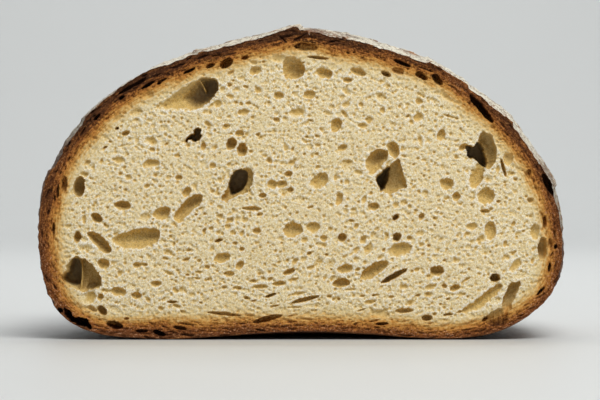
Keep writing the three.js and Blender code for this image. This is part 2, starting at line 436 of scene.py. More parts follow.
# Pores that give the cut its character:
# x, z, half length, half thickness, tilt in degrees, depth, side that is in shade in degrees, softness.
# A soft pore falls steeply on its shaded side and rises gently on the other.
PORES = (
    (52.4, 62.6, 1.7, 1.0, 30, 2.1, 90, 0.3), (56.6, 53.6, 4.6, 2.4, 70, 2.6, -20, 0.9),
    (59.8, 46.7, 2.9, 2.5, 20, 2.4, 60, 0.6), (66.8, 58.7, 2.1, 1.6, 85, 2.1, 45, 0.5),
    (65.4, 55.8, 3.1, 0.5, 105, 3.0, 90, 0.0), (-64.5, 24.7, 2.0, 1.6, -20, 2.6, 90, 0.3),
    (-37.3, 48.0, 1.9, 1.15, 55, 2.0, 90, 0.4), (-58.1, 43.5, 2.7, 1.5, -5, 4.0, 90, 0.7),
    (-66.7, 39.6, 2.1, 1.4, -35, 3.6, 60, 0.4), (-72.2, 49.6, 3.5, 1.9, 85, 6.5, 90, 0.1),
    (-77.1, 50.3, 2.7, 1.0, 85, 4.0, 90, 0.2), (-72.9, 33.4, 1.8, 1.1, 80, 4.0, 90, 0.3),
    (-48.9, 57.1, 2.9, 1.4, 8, 1.8, 90, 0.9), (-39.9, 52.6, 1.2, 1.0, 0, 1.6, 90, 0.5),
    (-53.6, 73.8, 2.1, 1.5, 20, 1.1, 90, 0.8), (-57.2, 67.0, 1.4, 0.85, 25, 2.2, 90, 0.3),
    (-32.0, 62.8, 1.35, 0.9, 80, 1.9, 90, 0.4), (-22.9, 63.6, 2.0, 1.6, 80, 4.6, 100, 0.55),
    (-19.4, 61.8, 2.2, 1.6, 80, 3.8, 90, 0.3), (-20.2, 67.0, 1.4, 1.2, 0, 2.0, 90, 0.4),
    (-24.6, 89.7, 2.5, 1.4, 35, 6.0, 90, 0.1), (-29.8, 88.9, 1.6, 0.7, 25, 4.0, 90, 0.1),
    (-18.4, 91.5, 1.3, 0.8, 20, 3.0, 90, 0.2), (-15.1, 87.3, 2.1, 1.5, 15, 1.9, 90, 0.6),
    (-2.8, 88.2, 3.9, 3.6, -45, 4.5, -45, 0.5), (1.2, 95.0, 3.8, 1.4, -6, 3.4, 90, 0.3),
    (7.2, 86.6, 2.9, 1.8, -12, 2.4, 0, 0.5), (18.3, 86.9, 2.6, 1.2, -20, 2.4, 60, 0.4),
    (14.7, 84.3, 1.4, 1.0, 0, 1.6, 90, 0.5), (27.3, 86.3, 1.7, 0.8, -25, 4.0, 90, 0.1),
    (31.2, 87.2, 2.0, 1.2, -20, 2.6, 90, 0.3), (38.9, 85.6, 2.2, 1.1, -30, 5.5, 90, 0.0),
    (43.9, 84.5, 2.3, 1.1, -48, 4.5, 90, 0.1), (32.5, 89.8, 3.0, 0.6, -22, 4.0, 90, 0.0),
    (58.2, 75.0, 5.9, 1.0, -50, 7.0, 90, 0.0), (2.4, 79.5, 2.2, 1.6, 10, 1.8, 90, 0.6),
    (-7.4, 79.2, 1.7, 1.3, 0, 1.8, 90, 0.5), (-1.5, 73.6, 2.7, 1.6, 5, 1.4, 90, 0.8),
    (-8.2, 71.4, 1.1, 0.9, 0, 1.4, 90, 0.5), (11.1, 69.8, 2.4, 1.8, 70, 2.6, 0, 0.6),
    (19.6, 69.4, 1.7, 1.0, 0, 1.3, 90, 0.6), (13.1, 62.3, 1.7, 1.2, 30, 1.6, 90, 0.6),
    (-19.0, 73.8, 2.0, 1.1, 10, 1.4, 90, 0.7), (45.1, 66.5, 2.0, 1.3, 75, 2.1, 60, 0.5),
    (-9.6, 50.4, 1.8, 1.5, 0, 1.8, 90, 0.6), (-6.6, 50.6, 1.8, 1.3, -8, 1.8, 90, 0.6),
    (5.6, 51.6, 3.2, 2.3, 38, 2.1, 60, 0.6), (-4.4, 53.9, 1.2, 1.0, 0, 2.1, 90, 0.3),
    (-3.8, 48.6, 1.1, 0.9, 0, 1.9, 90, 0.3), (-12.8, 46.8, 1.3, 0.9, 10, 1.9, 90, 0.3),
    (14.6, 56.8, 2.2, 1.8, 0, 1.0, 90, 0.7), (12.2, 45.6, 2.2, 1.2, 75, 1.8, 0, 0.6),
    (-16.1, 42.6, 3.2, 0.8, -2, 1.8, 90, 0.4), (-2.8, 35.7, 3.1, 2.5, 10, 2.6, 90, 0.5),
    (3.6, 36.6, 2.2, 1.9, 0, 1.6, 90, 0.5), (13.1, 33.2, 1.4, 1.4, 0, 3.0, 90, 0.2),
    (7.2, 32.9, 1.2, 1.1, 0, 1.4, 90, 0.4), (-14.6, 35.4, 1.4, 1.0, 0, 1.8, 90, 0.4),
    (23.3, 43.1, 1.7, 1.3, 0, 2.1, 90, 0.4), (30.5, 39.7, 1.3, 0.75, 42, 3.4, 90, 0.1),
    (30.9, 33.4, 1.5, 1.3, 60, 4.0, 90, 0.1), (34.8, 33.1, 0.9, 0.8, 0, 1.6, 90, 0.3),
    (31.9, 29.2, 4.2, 2.4, 15, 1.9, 90, 0.7), (46.8, 50.6, 2.4, 1.9, 10, 2.2, 60, 0.6),
    (50.1, 46.6, 1.6, 1.2, 80, 2.1, 60, 0.4), (59.5, 41.8, 1.7, 0.7, 0, 1.8, 90, 0.3),
    (61.1, 35.4, 3.0, 1.9, 85, 2.1, 30, 0.6), (38.8, 40.0, 1.4, 0.9, 62, 1.8, 90, 0.4),
    (74.2, 45.4, 1.1, 0.9, 0, 2.0, 90, 0.3), (73.4, 53.5, 2.0, 1.0, 80, 2.1, 90, 0.5),
    (78.8, 38.0, 2.2, 0.6, 87, 3.6, 90, 0.0), (75.6, 35.0, 2.7, 1.5, 85, 1.8, 60, 0.6),
    (78.1, 29.5, 3.7, 1.4, 86, 5.5, 90, 0.1), (80.3, 50.0, 4.3, 1.1, -62, 7.0, 90, 0.0),
    (-25.9, 26.6, 3.0, 1.6, 18, 2.1, 90, 0.6), (-20.2, 24.2, 1.7, 1.15, 50, 1.9, 90, 0.5),
    (-23.6, 21.4, 1.7, 1.0, 0, 1.6, 90, 0.5), (-4.1, 22.1, 2.1, 0.9, 22, 2.4, 90, 0.4),
    (-7.4, 18.2, 2.4, 0.9, 4, 1.8, 90, 0.5), (-13.5, 17.2, 2.6, 0.8, 0, 1.4, 90, 0.5),
    (14.0, 23.0, 2.7, 1.5, 10, 2.1, 90, 0.6), (23.5, 22.6, 5.5, 2.0, 31, 3.6, 120, 0.6),
    (30.0, 20.7, 4.8, 0.9, 28, 4.5, 90, 0.1), (12.9, 18.5, 2.8, 1.5, 4, 3.4, 90, 0.4),
    (1.1, 13.1, 4.8, 0.7, 14, 2.8, 90, 0.2), (-25.2, 8.4, 5.6, 0.6, -6, 2.6, 90, 0.2),
    (-11.1, 6.8, 4.9, 0.9, 15, 4.5, 90, 0.1), (-42.1, 12.3, 1.7, 0.5, 0, 2.0, 90, 0.2),
    (-59.6, 15.6, 2.4, 1.5, -10, 2.2, 90, 0.5), (-53.6, 14.3, 1.7, 1.2, 0, 2.2, 90, 0.4),
    (-47.3, 18.2, 1.7, 1.1, 0, 1.8, 90, 0.5), (-53.4, 24.3, 1.4, 1.0, 0, 1.6, 90, 0.4),
    (-65.4, 13.9, 1.2, 1.0, 60, 2.1, 90, 0.3), (-64.8, 9.5, 1.9, 1.2, -50, 5.0, 90, 0.1),
    (-68.0, 9.9, 1.8, 0.9, -30, 2.1, 90, 0.4), (-69.1, 13.4, 2.7, 2.2, 20, 1.4, 60, 0.8),
    (-60.7, 4.8, 2.7, 1.2, -15, 5.0, 90, 0.0), (-46.4, 2.2, 2.0, 0.8, -20, 5.0, 90, 0.0),
    (-52.1, 2.8, 2.0, 0.6, 0, 2.4, 90, 0.1), (-39.5, 3.8, 2.2, 0.7, -8, 2.4, 90, 0.1),
    (-56.9, 6.8, 0.9, 0.5, 0, 2.0, 90, 0.2), (-78.5, 9.5, 1.0, 0.7, -45, 4.0, 90, 0.0),
    (-81.3, 12.3, 1.0, 0.7, -60, 4.0, 90, 0.0), (43.9, 22.4, 2.4, 1.7, 5, 4.2, 90, 0.6),
    (49.7, 16.9, 1.8, 1.1, 20, 2.1, 90, 0.3), (46.2, 17.5, 0.9, 0.8, 0, 1.6, 90, 0.3),
    (33.2, 9.4, 3.0, 0.8, 4, 2.6, 90, 0.2), (40.6, 7.1, 1.7, 1.0, 0, 4.2, 90, 0.0),
    (62.7, 20.1, 1.7, 1.4, 10, 5.5, 180, 0.2), (59.6, 6.7, 1.3, 0.6, 35, 4.5, 90, 0.0),
    (77.5, 15.8, 1.8, 0.45, 50, 3.5, 90, 0.0), (80.4, 23.5, 1.6, 0.45, 85, 3.0, 90, 0.0),
    (82.4, 30.2, 0.8, 0.5, 80, 3.0, 90, 0.0), (80.6, 31.0, 1.9, 0.7, 88, 2.0, 90, 0.2),
    (26.0, 5.2, 2.2, 0.5, 3, 2.5, 90, 0.0), (47.5, 8.2, 1.6, 0.4, 5, 2.0, 90, 0.1),
    (-36.6, 87.3, 2.2, 0.45, 27, 3.5, 90, 0.0), (-49.9, 82.7, 2.6, 0.5, 31, 3.0, 90, 0.0),
    (-46.3, 83.3, 0.9, 0.5, 30, 2.6, 90, 0.0), (-58.4, 78.7, 1.0, 0.45, 30, 3.0, 90, 0.0),
    (-56.7, 81.4, 3.4, 0.6, 31, 2.4, 90, 0.0), (-52.6, 83.6, 2.6, 0.6, 33, 2.2, 90, 0.0),
    (-75.9, 63.6, 1.3, 0.7, 55, 2.4, 90, 0.0), (-66.5, 72.2, 1.6, 0.5, 45, 2.4, 90, 0.0),
    (-79.2, 48.0, 2.4, 0.4, 84, 2.2, 90, 0.0), (-80.6, 36.0, 2.2, 0.4, 90, 2.4, 90, 0.0),
)

# Lesser pores, all shaded alike: x, z, half length, half thickness, tilt in degrees, depth
LESSER_SHADE = (90, 0.5)  # their shaded side in degrees, and their softness
LESSER_PORES = (
    (-49.9, 79.2, 1.9, 1.1, 35, 1.05), (-59.9, 71.8, 1.9, 0.8, 35, 0.93), (-60.0, 68.6, 0.7, 0.45, 20, 3.0),
    (-62.2, 64.3, 0.7, 0.5, 0, 1.05), (-63.8, 62.5, 0.8, 0.4, 25, 1.63), (-53.6, 64.5, 1.4, 0.7, 75, 0.76),
    (-48.5, 61.8, 1.0, 0.8, 0, 1.16), (-40.5, 59.7, 1.1, 0.7, -5, 1.11), (-69.6, 57.5, 1.2, 0.8, 35, 1.28),
    (-29.3, 76.0, 1.4, 0.7, 45, 0.87), (-44.6, 68.8, 1.4, 1.0, 10, 0.64), (-44.0, 63.5, 0.9, 0.45, 30, 1.22),
    (-50.3, 49.9, 1.1, 0.8, 10, 1.16), (-58.9, 54.0, 0.7, 0.6, 0, 1.16), (-49.6, 71.1, 1.1, 0.8, 0, 0.7),
    (-70.7, 53.8, 1.4, 0.9, -10, 1.11), (-67.2, 65.5, 0.7, 0.6, 40, 1.05), (-23.1, 86.6, 1.4, 0.7, 30, 1.45),
    (-15.6, 89.9, 1.25, 0.8, -15, 1.05), (-12.3, 90.2, 0.6, 0.45, 0, 1.05), (0.3, 89.9, 0.7, 0.4, 20, 1.16),
    (5.3, 91.5, 3.6, 0.5, -6, 3.2), (-23.4, 82.8, 0.9, 0.6, -20, 1.05), (-25.9, 81.3, 1.2, 0.9, 60, 0.82),
    (-21.1, 81.3, 1.0, 0.8, 0, 0.7), (-18.2, 82.1, 0.9, 0.55, -10, 1.05), (-17.3, 76.7, 1.0, 0.65, 10, 1.16),
    (-19.8, 76.6, 0.7, 0.6, 60, 0.93), (-11.0, 76.7, 1.2, 0.8, -20, 0.64), (2.8, 71.1, 1.1, 0.5, -15, 0.99),
    (8.4, 73.5, 1.7, 0.7, -15, 0.7), (-30.5, 70.0, 1.4, 0.9, -30, 1.22), (-24.6, 69.2, 1.45, 1.0, 15, 1.11),
    (-26.8, 72.1, 1.0, 0.7, 0, 0.76), (-17.9, 66.6, 0.9, 0.8, 90, 0.76), (-14.2, 66.7, 0.8, 0.6, 0, 1.16),
    (-9.1, 67.6, 1.1, 0.6, 10, 0.76), (-5.2, 62.5, 1.2, 0.9, -50, 0.87), (-3.0, 61.9, 0.8, 0.5, 70, 1.16),
    (1.5, 65.8, 0.6, 0.5, 0, 1.05), (5.0, 66.0, 0.8, 0.6, 0, 0.99), (5.1, 63.1, 1.1, 0.75, 0, 0.87),
    (4.7, 60.3, 0.7, 0.6, 0, 1.11), (-10.5, 58.2, 1.2, 0.85, -70, 1.28), (-3.3, 57.4, 1.2, 1.0, 0, 1.28),
    (-11.8, 59.8, 0.9, 0.7, 0, 0.7), (-6.1, 57.3, 1.4, 0.7, 0, 0.7), (5.2, 56.1, 0.9, 0.65, 0, 0.99),
    (-28.9, 56.5, 1.2, 1.05, 20, 1.28), (-23.7, 57.0, 0.9, 0.65, 40, 1.05), (-31.8, 57.3, 1.2, 1.1, 0, 0.58),
    (-25.5, 52.7, 1.0, 0.6, 80, 0.76), (-29.3, 48.4, 0.9, 0.8, 0, 0.76), (-27.6, 47.7, 1.0, 0.8, 80, 0.82),
    (-16.9, 47.7, 1.2, 0.7, -60, 0.82), (-33.0, 42.6, 0.9, 0.5, 30, 1.05), (-26.6, 43.0, 1.2, 0.7, -20, 0.7),
    (-34.4, 40.6, 0.6, 0.4, 0, 1.28), (-13.7, 40.7, 1.1, 0.7, 15, 1.11), (-26.7, 40.0, 1.15, 0.9, 0, 1.05),
    (-23.3, 38.7, 1.1, 0.9, -30, 1.22), (-24.1, 36.8, 1.15, 1.0, 0, 0.93), (-18.6, 38.8, 1.35, 0.8, 5, 0.93),
    (-22.5, 34.9, 1.1, 0.8, 0, 0.82), (2.7, 43.0, 1.2, 0.45, 15, 1.16), (-29.5, 36.2, 0.9, 0.65, 15, 1.05),
    (-31.7, 35.5, 0.9, 0.5, 50, 1.45), (-26.7, 34.9, 1.3, 0.9, 0, 0.7), (-27.0, 32.2, 1.4, 0.55, 15, 3.0),
    (-21.7, 31.3, 0.9, 0.7, 0, 1.16), (-19.5, 29.4, 0.9, 0.8, 0, 1.51), (-29.2, 29.6, 1.0, 0.8, 60, 0.82),
    (-37.5, 26.1, 1.2, 0.65, 15, 1.45), (-33.4, 25.7, 0.8, 0.65, 0, 1.11), (-30.8, 23.6, 0.85, 0.75, 0, 1.45),
    (-37.2, 21.0, 0.7, 0.4, 0, 1.28), (-29.9, 19.7, 0.8, 0.7, 0, 0.93), (-2.3, 25.4, 1.4, 0.95, 50, 1.11),
    (0.5, 26.1, 1.3, 0.9, 30, 0.82), (2.4, 28.0, 1.0, 0.65, 30, 1.22), (0.9, 32.3, 1.3, 0.9, 20, 0.93),
    (-6.8, 32.9, 0.9, 0.8, 0, 0.76), (-2.7, 19.6, 1.9, 0.6, 12, 1.11), (-10.2, 19.7, 1.0, 0.65, 30, 1.34),
    (-15.7, 19.0, 1.6, 0.65, -3, 1.05), (-20.9, 16.8, 1.5, 0.75, -3, 1.22), (-1.4, 14.9, 2.7, 0.65, 10, 0.99),
    (-10.2, 14.4, 2.0, 0.5, 20, 3.0), (-17.8, 13.5, 1.4, 0.65, -15, 1.16), (-15.7, 12.6, 1.0, 0.35, 10, 1.4),
    (-25.1, 17.1, 0.9, 0.5, -15, 1.11), (-8.6, 11.0, 1.3, 0.35, 5, 1.4), (-2.7, 10.5, 2.0, 0.45, 2, 1.05),
    (-16.6, 7.9, 1.4, 0.55, 0, 1.28), (-32.8, 12.0, 0.7, 0.4, -30, 1.16), (20.2, 45.4, 1.6, 0.85, 65, 0.99),
    (30.6, 43.9, 1.2, 0.95, 50, 0.93), (33.0, 44.6, 1.3, 0.95, 50, 0.82), (35.0, 43.2, 0.9, 0.65, 80, 0.93),
    (40.1, 47.4, 1.3, 0.9, 80, 0.76), (37.0, 42.0, 0.7, 0.5, 0, 1.11), (43.2, 39.3, 0.8, 0.7, 0, 0.99),
    (16.7, 42.2, 0.9, 0.7, 0, 0.99), (16.0, 38.7, 1.1, 0.55, 0, 1.22), (17.6, 37.0, 1.0, 0.8, 60, 1.11),
    (9.1, 35.9, 0.9, 0.8, 0, 0.87), (6.3, 30.9, 2.0, 0.9, -5, 0.87), (19.9, 32.6, 1.6, 0.95, 65, 1.28),
    (23.1, 33.9, 1.5, 0.95, 70, 0.82), (27.5, 33.5, 1.6, 0.7, 75, 0.82), (21.5, 29.4, 2.2, 1.4, 55, 1.05),
    (17.5, 29.1, 1.6, 0.9, 40, 0.93), (26.6, 29.1, 0.7, 0.55, 60, 1.16), (38.9, 30.9, 1.0, 0.8, 0, 0.82),
    (41.2, 30.6, 0.6, 0.5, 0, 1.16), (8.0, 27.7, 0.6, 0.5, 0, 1.4), (5.2, 24.8, 2.3, 1.2, 50, 0.76),
    (9.2, 24.5, 2.1, 1.2, 45, 0.64), (17.6, 26.1, 1.1, 0.8, 0, 0.7), (18.0, 22.8, 1.0, 0.75, 30, 1.11),
    (20.1, 23.3, 0.6, 0.45, 0, 1.16), (37.3, 22.8, 0.95, 0.75, 20, 1.11), (15.7, 16.3, 2.0, 0.55, 5, 0.82),
    (33.1, 17.1, 1.6, 0.85, -5, 0.99), (41.5, 17.0, 1.8, 0.95, 15, 0.99), (8.9, 14.1, 0.8, 0.5, 0, 1.22),
    (19.5, 14.2, 1.0, 0.45, 10, 1.05), (23.8, 14.5, 1.3, 0.4, 0, 0.99), (29.0, 13.9, 1.0, 0.55, 0, 1.22),
    (37.7, 14.5, 0.8, 0.45, 10, 1.4), (22.1, 12.3, 2.0, 0.75, 10, 1.05), (12.0, 13.1, 0.6, 0.35, 0, 1.28),
    (19.2, 9.6, 1.5, 0.3, 18, 1.4), (27.2, 9.7, 0.9, 0.65, 0, 0.99), (43.1, 8.3, 0.8, 0.55, 30, 1.4),
    (14.5, 80.6, 1.9, 1.1, -55, 0.82), (25.4, 78.8, 1.8, 1.3, -40, 0.82), (38.1, 77.4, 1.3, 0.95, -10, 1.34),
    (38.4, 79.5, 1.3, 0.75, -30, 0.93), (19.2, 76.3, 0.9, 0.75, 0, 1.11), (46.6, 78.8, 2.6, 0.9, -38, 0.93),
    (26.1, 74.4, 1.0, 0.85, -60, 1.05), (13.8, 73.3, 1.6, 0.8, -45, 1.05), (34.3, 72.6, 0.9, 0.45, 35, 1.34),
    (35.6, 70.6, 1.0, 0.8, -50, 0.93), (48.4, 72.4, 3.0, 0.5, -15, 0.93), (38.4, 64.9, 1.8, 0.85, -75, 0.82),
    (61.8, 69.0, 1.0, 0.8, -30, 1.05), (63.6, 55.3, 1.4, 0.7, 80, 0.99), (69.3, 52.1, 0.7, 0.6, 0, 1.16),
    (76.1, 48.7, 1.2, 0.8, -50, 1.11), (39.7, 47.6, 1.2, 0.9, 60, 0.76), (63.9, 44.9, 0.8, 0.6, 0, 1.11),
    (46.3, 25.8, 0.6, 0.5, 0, 1.16), (53.3, 34.4, 0.8, 0.6, 60, 1.05), (68.6, 37.6, 1.0, 0.6, 60, 1.16),
    (61.4, 42.6, 0.8, 0.5, -10, 1.05), (71.9, 35.3, 0.7, 0.5, 0, 1.11), (66.0, 31.1, 1.1, 0.7, 80, 1.05),
    (66.3, 26.8, 1.3, 1.0, 0, 0.82), (74.9, 25.7, 1.2, 0.5, 80, 1.11), (70.8, 24.6, 0.9, 0.45, 75, 1.16),
    (53.1, 19.3, 1.9, 0.5, 33, 0.93), (47.5, 13.2, 0.8, 0.5, 30, 1.28), (51.5, 14.5, 1.1, 0.9, 60, 0.82),
    (41.0, 14.7, 1.5, 1.0, 5, 0.87), (-51.6, 24.5, 1.6, 0.6, -8, 1.11), (-43.2, 21.6, 2.0, 0.75, -25, 0.99),
    (-44.4, 26.4, 1.0, 0.6, 0, 0.99), (-36.6, 29.0, 1.5, 0.7, 0, 0.87), (-33.4, 22.0, 1.5, 0.5, -3, 0.99),
    (-41.0, 15.9, 1.2, 0.9, -35, 0.99), (-40.7, 11.0, 1.4, 0.6, -15, 1.11), (-38.6, 9.0, 1.2, 0.7, -20, 0.93),
    (-34.0, 19.9, 1.3, 0.5, -5, 0.99), (-49.9, 13.0, 1.2, 0.8, -50, 0.99), (-45.8, 10.2, 1.0, 0.7, -20, 1.16),
    (-59.1, 21.6, 1.1, 0.9, 60, 0.99), (-70.8, 39.3, 1.2, 0.8, 80, 0.87), (-63.5, 37.0, 1.1, 0.7, -50, 0.93),
)

# The largest pores, each by its outline in the cut: depth, width of its wall,
# shaded side in degrees, softness, and the outline's points
OUTLINED = (
    (8.0, 0.9, 90, 0.0, ((-33.6, 69.0), (-32.9, 68.3), (-33.1, 67.1), (-32.6, 66.3), (-32.9, 65.3),
                         (-33.4, 64.7), (-34.4, 64.5), (-35.2, 64.3), (-35.9, 64.8), (-36.5, 65.0),
                         (-37.2, 64.3), (-37.6, 64.7), (-37.5, 65.5), (-36.7, 66.1), (-35.9, 66.6),
                         (-35.2, 66.8), (-35.0, 67.8), (-34.7, 68.6))),
    (5.0, 3.6, 70, 0.9, ((-48.5, 75.3), (-42.5, 79.3), (-38.5, 81.9), (-33.9, 84.2), (-29.9, 85.2),
                         (-27.6, 84.2), (-27.1, 82.2), (-27.7, 80.2), (-30.6, 76.9), (-33.9, 74.8),
                         (-38.2, 74.3), (-44.2, 74.4))),
    (12.0, 3.0, -5, 1.0, ((-41.0, 78.6), (-37.9, 81.4), (-33.2, 84.4), (-29.9, 85.2), (-27.7, 84.2),
                          (-27.1, 82.2), (-27.7, 80.2), (-30.6, 76.9), (-34.2, 74.9), (-37.8, 76.0))),
    (4.2, 1.6, 180, 0.3, ((-17.4, 55.7), (-15.7, 54.1), (-16.2, 51.1), (-18.0, 48.1), (-22.7, 46.1),
                          (-24.3, 45.2), (-26.1, 45.5), (-25.0, 48.1), (-23.6, 50.4), (-23.0, 53.1),
                          (-21.0, 55.1))),
    (13.0, 1.5, 150, 0.0, ((-19.2, 55.4), (-17.4, 54.2), (-17.8, 51.0), (-19.4, 48.4), (-22.7, 46.9),
                           (-23.8, 49.4), (-23.0, 53.1), (-21.0, 55.1))),
    (5.0, 2.6, 115, 0.8, ((-41.8, 39.2), (-40.2, 42.5), (-36.6, 46.1), (-33.9, 47.3), (-32.4, 46.8),
                           (-32.6, 44.8), (-34.6, 42.5), (-37.2, 40.2), (-39.2, 37.9))),
    (3.4, 2.2, 60, 0.8, ((-49.1, 40.6), (-46.5, 42.8), (-43.5, 43.3), (-42.9, 42.2), (-43.5, 39.5),
                         (-46.6, 38.6))),
    (5.4, 2.8, 70, 0.8, ((20.4, 57.5), (22.0, 60.2), (24.7, 61.8), (27.0, 61.7), (28.0, 60.2),
                         (27.0, 57.9), (23.7, 53.6), (22.0, 53.9))),
    (3.6, 2.0, 20, 0.7, ((27.3, 63.2), (29.6, 64.2), (31.3, 62.8), (31.5, 60.5), (30.3, 58.8),
                         (28.3, 60.2))),
    (5.4, 2.6, 160, 0.35, ((31.3, 58.7), (32.3, 56.2), (34.1, 49.6), (32.0, 48.9), (28.6, 47.4),
                           (26.7, 48.3), (25.7, 48.1), (24.2, 51.3), (24.7, 53.6), (28.3, 56.5))),
    (13.0, 1.4, 140, 0.0, ((28.6, 56.2), (28.2, 53.0), (27.2, 49.6), (25.8, 48.2), (24.3, 51.3),
                           (24.9, 53.4))),
    (13.0, 0.9, 90, 0.0, ((53.6, 62.9), (55.8, 62.7), (57.5, 64.3), (59.1, 62.1), (60.1, 58.2),
                          (59.9, 56.0), (58.1, 56.9), (56.4, 58.5), (54.1, 59.5))),
    (5.6, 1.8, 40, 0.3, ((58.8, 67.5), (61.4, 66.2), (63.0, 62.3), (62.4, 57.2), (60.4, 55.5),
                         (59.4, 58.2), (58.6, 62.1), (57.4, 64.7))),
    (4.6, 3.0, 80, 1.0, ((-62.0, 32.9), (-58.6, 34.6), (-53.2, 36.0), (-47.9, 36.0), (-46.0, 34.9),
                         (-47.3, 31.4), (-53.0, 28.8), (-58.8, 29.2), (-61.2, 31.0))),
    (5.0, 2.2, 45, 0.5, ((-69.6, 34.6), (-67.8, 35.0), (-64.3, 33.2), (-62.1, 29.8), (-62.6, 28.1),
                         (-64.8, 28.6), (-68.0, 31.6))),
    (5.5, 1.8, 35, 0.3, ((-72.9, 27.0), (-69.6, 25.5), (-67.0, 22.8), (-65.1, 19.9), (-65.9, 17.2),
                         (-70.3, 15.7), (-72.2, 15.9), (-75.6, 17.4), (-77.9, 19.2), (-78.0, 21.2),
                         (-76.6, 22.5), (-75.9, 24.8), (-74.6, 26.1))),
    (7.5, 1.6, -60, 0.6, ((-70.4, 21.0), (-68.4, 21.6), (-66.7, 19.6), (-66.9, 17.0), (-70.3, 16.2))),
    (13.0, 1.2, 90, 0.0, ((-73.6, 26.5), (-71.7, 24.5), (-71.4, 21.0), (-71.9, 18.5), (-73.9, 17.5),
                          (-77.2, 18.5), (-77.8, 20.5), (-75.6, 22.8), (-75.2, 25.2))),
    (2.6, 1.7, 120, 0.8, ((50.4, 8.6), (54.3, 11.3), (57.6, 13.9), (61.5, 16.9), (64.5, 18.2),
                          (65.0, 17.2), (63.9, 14.9), (61.5, 12.6), (56.9, 9.3))),
    (4.4, 1.3, 170, 0.25, ((67.5, 17.9), (69.2, 18.7), (70.8, 18.9), (70.7, 17.2), (69.4, 14.3),
                           (68.2, 11.3), (66.4, 6.8), (65.5, 7.1), (65.3, 12.6), (66.3, 15.6))),
    (2.4, 1.2, 150, 0.5, ((59.4, 6.4), (62.2, 9.3), (66.0, 10.4), (67.3, 7.3), (66.3, 4.6),
                          (62.2, 4.2))),
    (9.0, 1.0, 90, 0.0, ((-77.4, 9.9), (-75.2, 9.4), (-74.4, 7.5), (-70.6, 7.0), (-69.0, 5.1),
                         (-68.2, 3.4), (-69.8, 3.9), (-73.2, 4.9), (-75.5, 6.5), (-76.9, 8.2))),
)

# Threads of crumb left standing across open pores: x and z of both ends, half widths there, depth
THREADS = (
    (-33.2, 84.3, -31.2, 80.5, 0.26, 0.22, 0.5), (-71.6, 26.2, -71.9, 15.6, 0.16, 0.55, 1.6),
    (-77.2, 18.4, -72.0, 15.8, 0.30, 0.45, 1.3), (62.3, 9.6, 62.7, 4.2, 0.22, 0.22, 0.7),
    (63.9, 10.0, 64.4, 4.4, 0.25, 0.25, 0.9), (65.2, 10.2, 65.8, 5.0, 0.20, 0.20, 0.8),
)
THREAD_BOW = 0.03  # how far a thread bows aside, as a share of its length
PORE_ROOM = 1.4  # room left for a pore's irregular edge, as a share of its half length
OUTLINE_ROOM = 1.5  # mm, the same round an outlined pore
LIT_RISE = 0.65  # how much shallower a pore is on its lit side
TINY = 1e-12


def pore_field(depth_of, x, z, pores, warp):
    """Sinks pores into the cut's depth map. warp holds two noise maps that make them irregular."""
    cell = x[1] - x[0]
    for px, pz, half_length, half_thickness, tilt, depth, shade, soft in pores:
        reach = half_length * PORE_ROOM + cell
        left = max(int((px - reach - x[0]) / cell), 0)
        right = min(int((px + reach - x[0]) / cell) + 2, len(x))
        low = max(int((pz - reach - z[0]) / cell), 0)
        high = min(int((pz + reach - z[0]) / cell) + 2, len(z))
        if right <= left or high <= low:
            continue
        window = np.s_[low:high, left:right]
        dx = x[None, left:right] - px + half_thickness * warp[0][window]
        dz = z[low:high, None] - pz + half_thickness * warp[1][window]
        turn = math.radians(tilt)
        along = (dx * math.cos(turn) + dz * math.sin(turn)) / half_length
        across = (dz * math.cos(turn) - dx * math.sin(turn)) / half_thickness
        round_off = np.clip(1 - along**2 - across**2, 0, 1)
        facing = math.radians(shade)
        lit = 0.5 - 0.5 * (dx * math.cos(facing) + dz * math.sin(facing)) / np.hypot(
            half_length * math.cos(facing - turn), half_thickness * math.sin(facing - turn)
        )
        lit = np.clip(lit, 0, 1) * soft
        hollow = depth * round_off ** (0.4 + 0.9 * lit**2) * (1 - LIT_RISE * lit)
        np.maximum(depth_of[window], hollow, out=depth_of[window])


def rounded_outline(points, steps=6):
    """A closed smooth curve through the points."""
    points = np.array(points)
    before, after, beyond = (np.roll(points, -shift, axis=0) for shift in (-1, 1, 2))
    curve = []
    for share in np.arange(steps) / steps:
        straight = 2 * points + (after - before) * share
        bend = straight + (2 * before - 5 * points + 4 * after - beyond) * share**2
        curve.append(0.5 * (bend + (3 * points - before - 3 * after + beyond) * share**3))
    return np.stack(curve, axis=1).reshape(-1, 2)


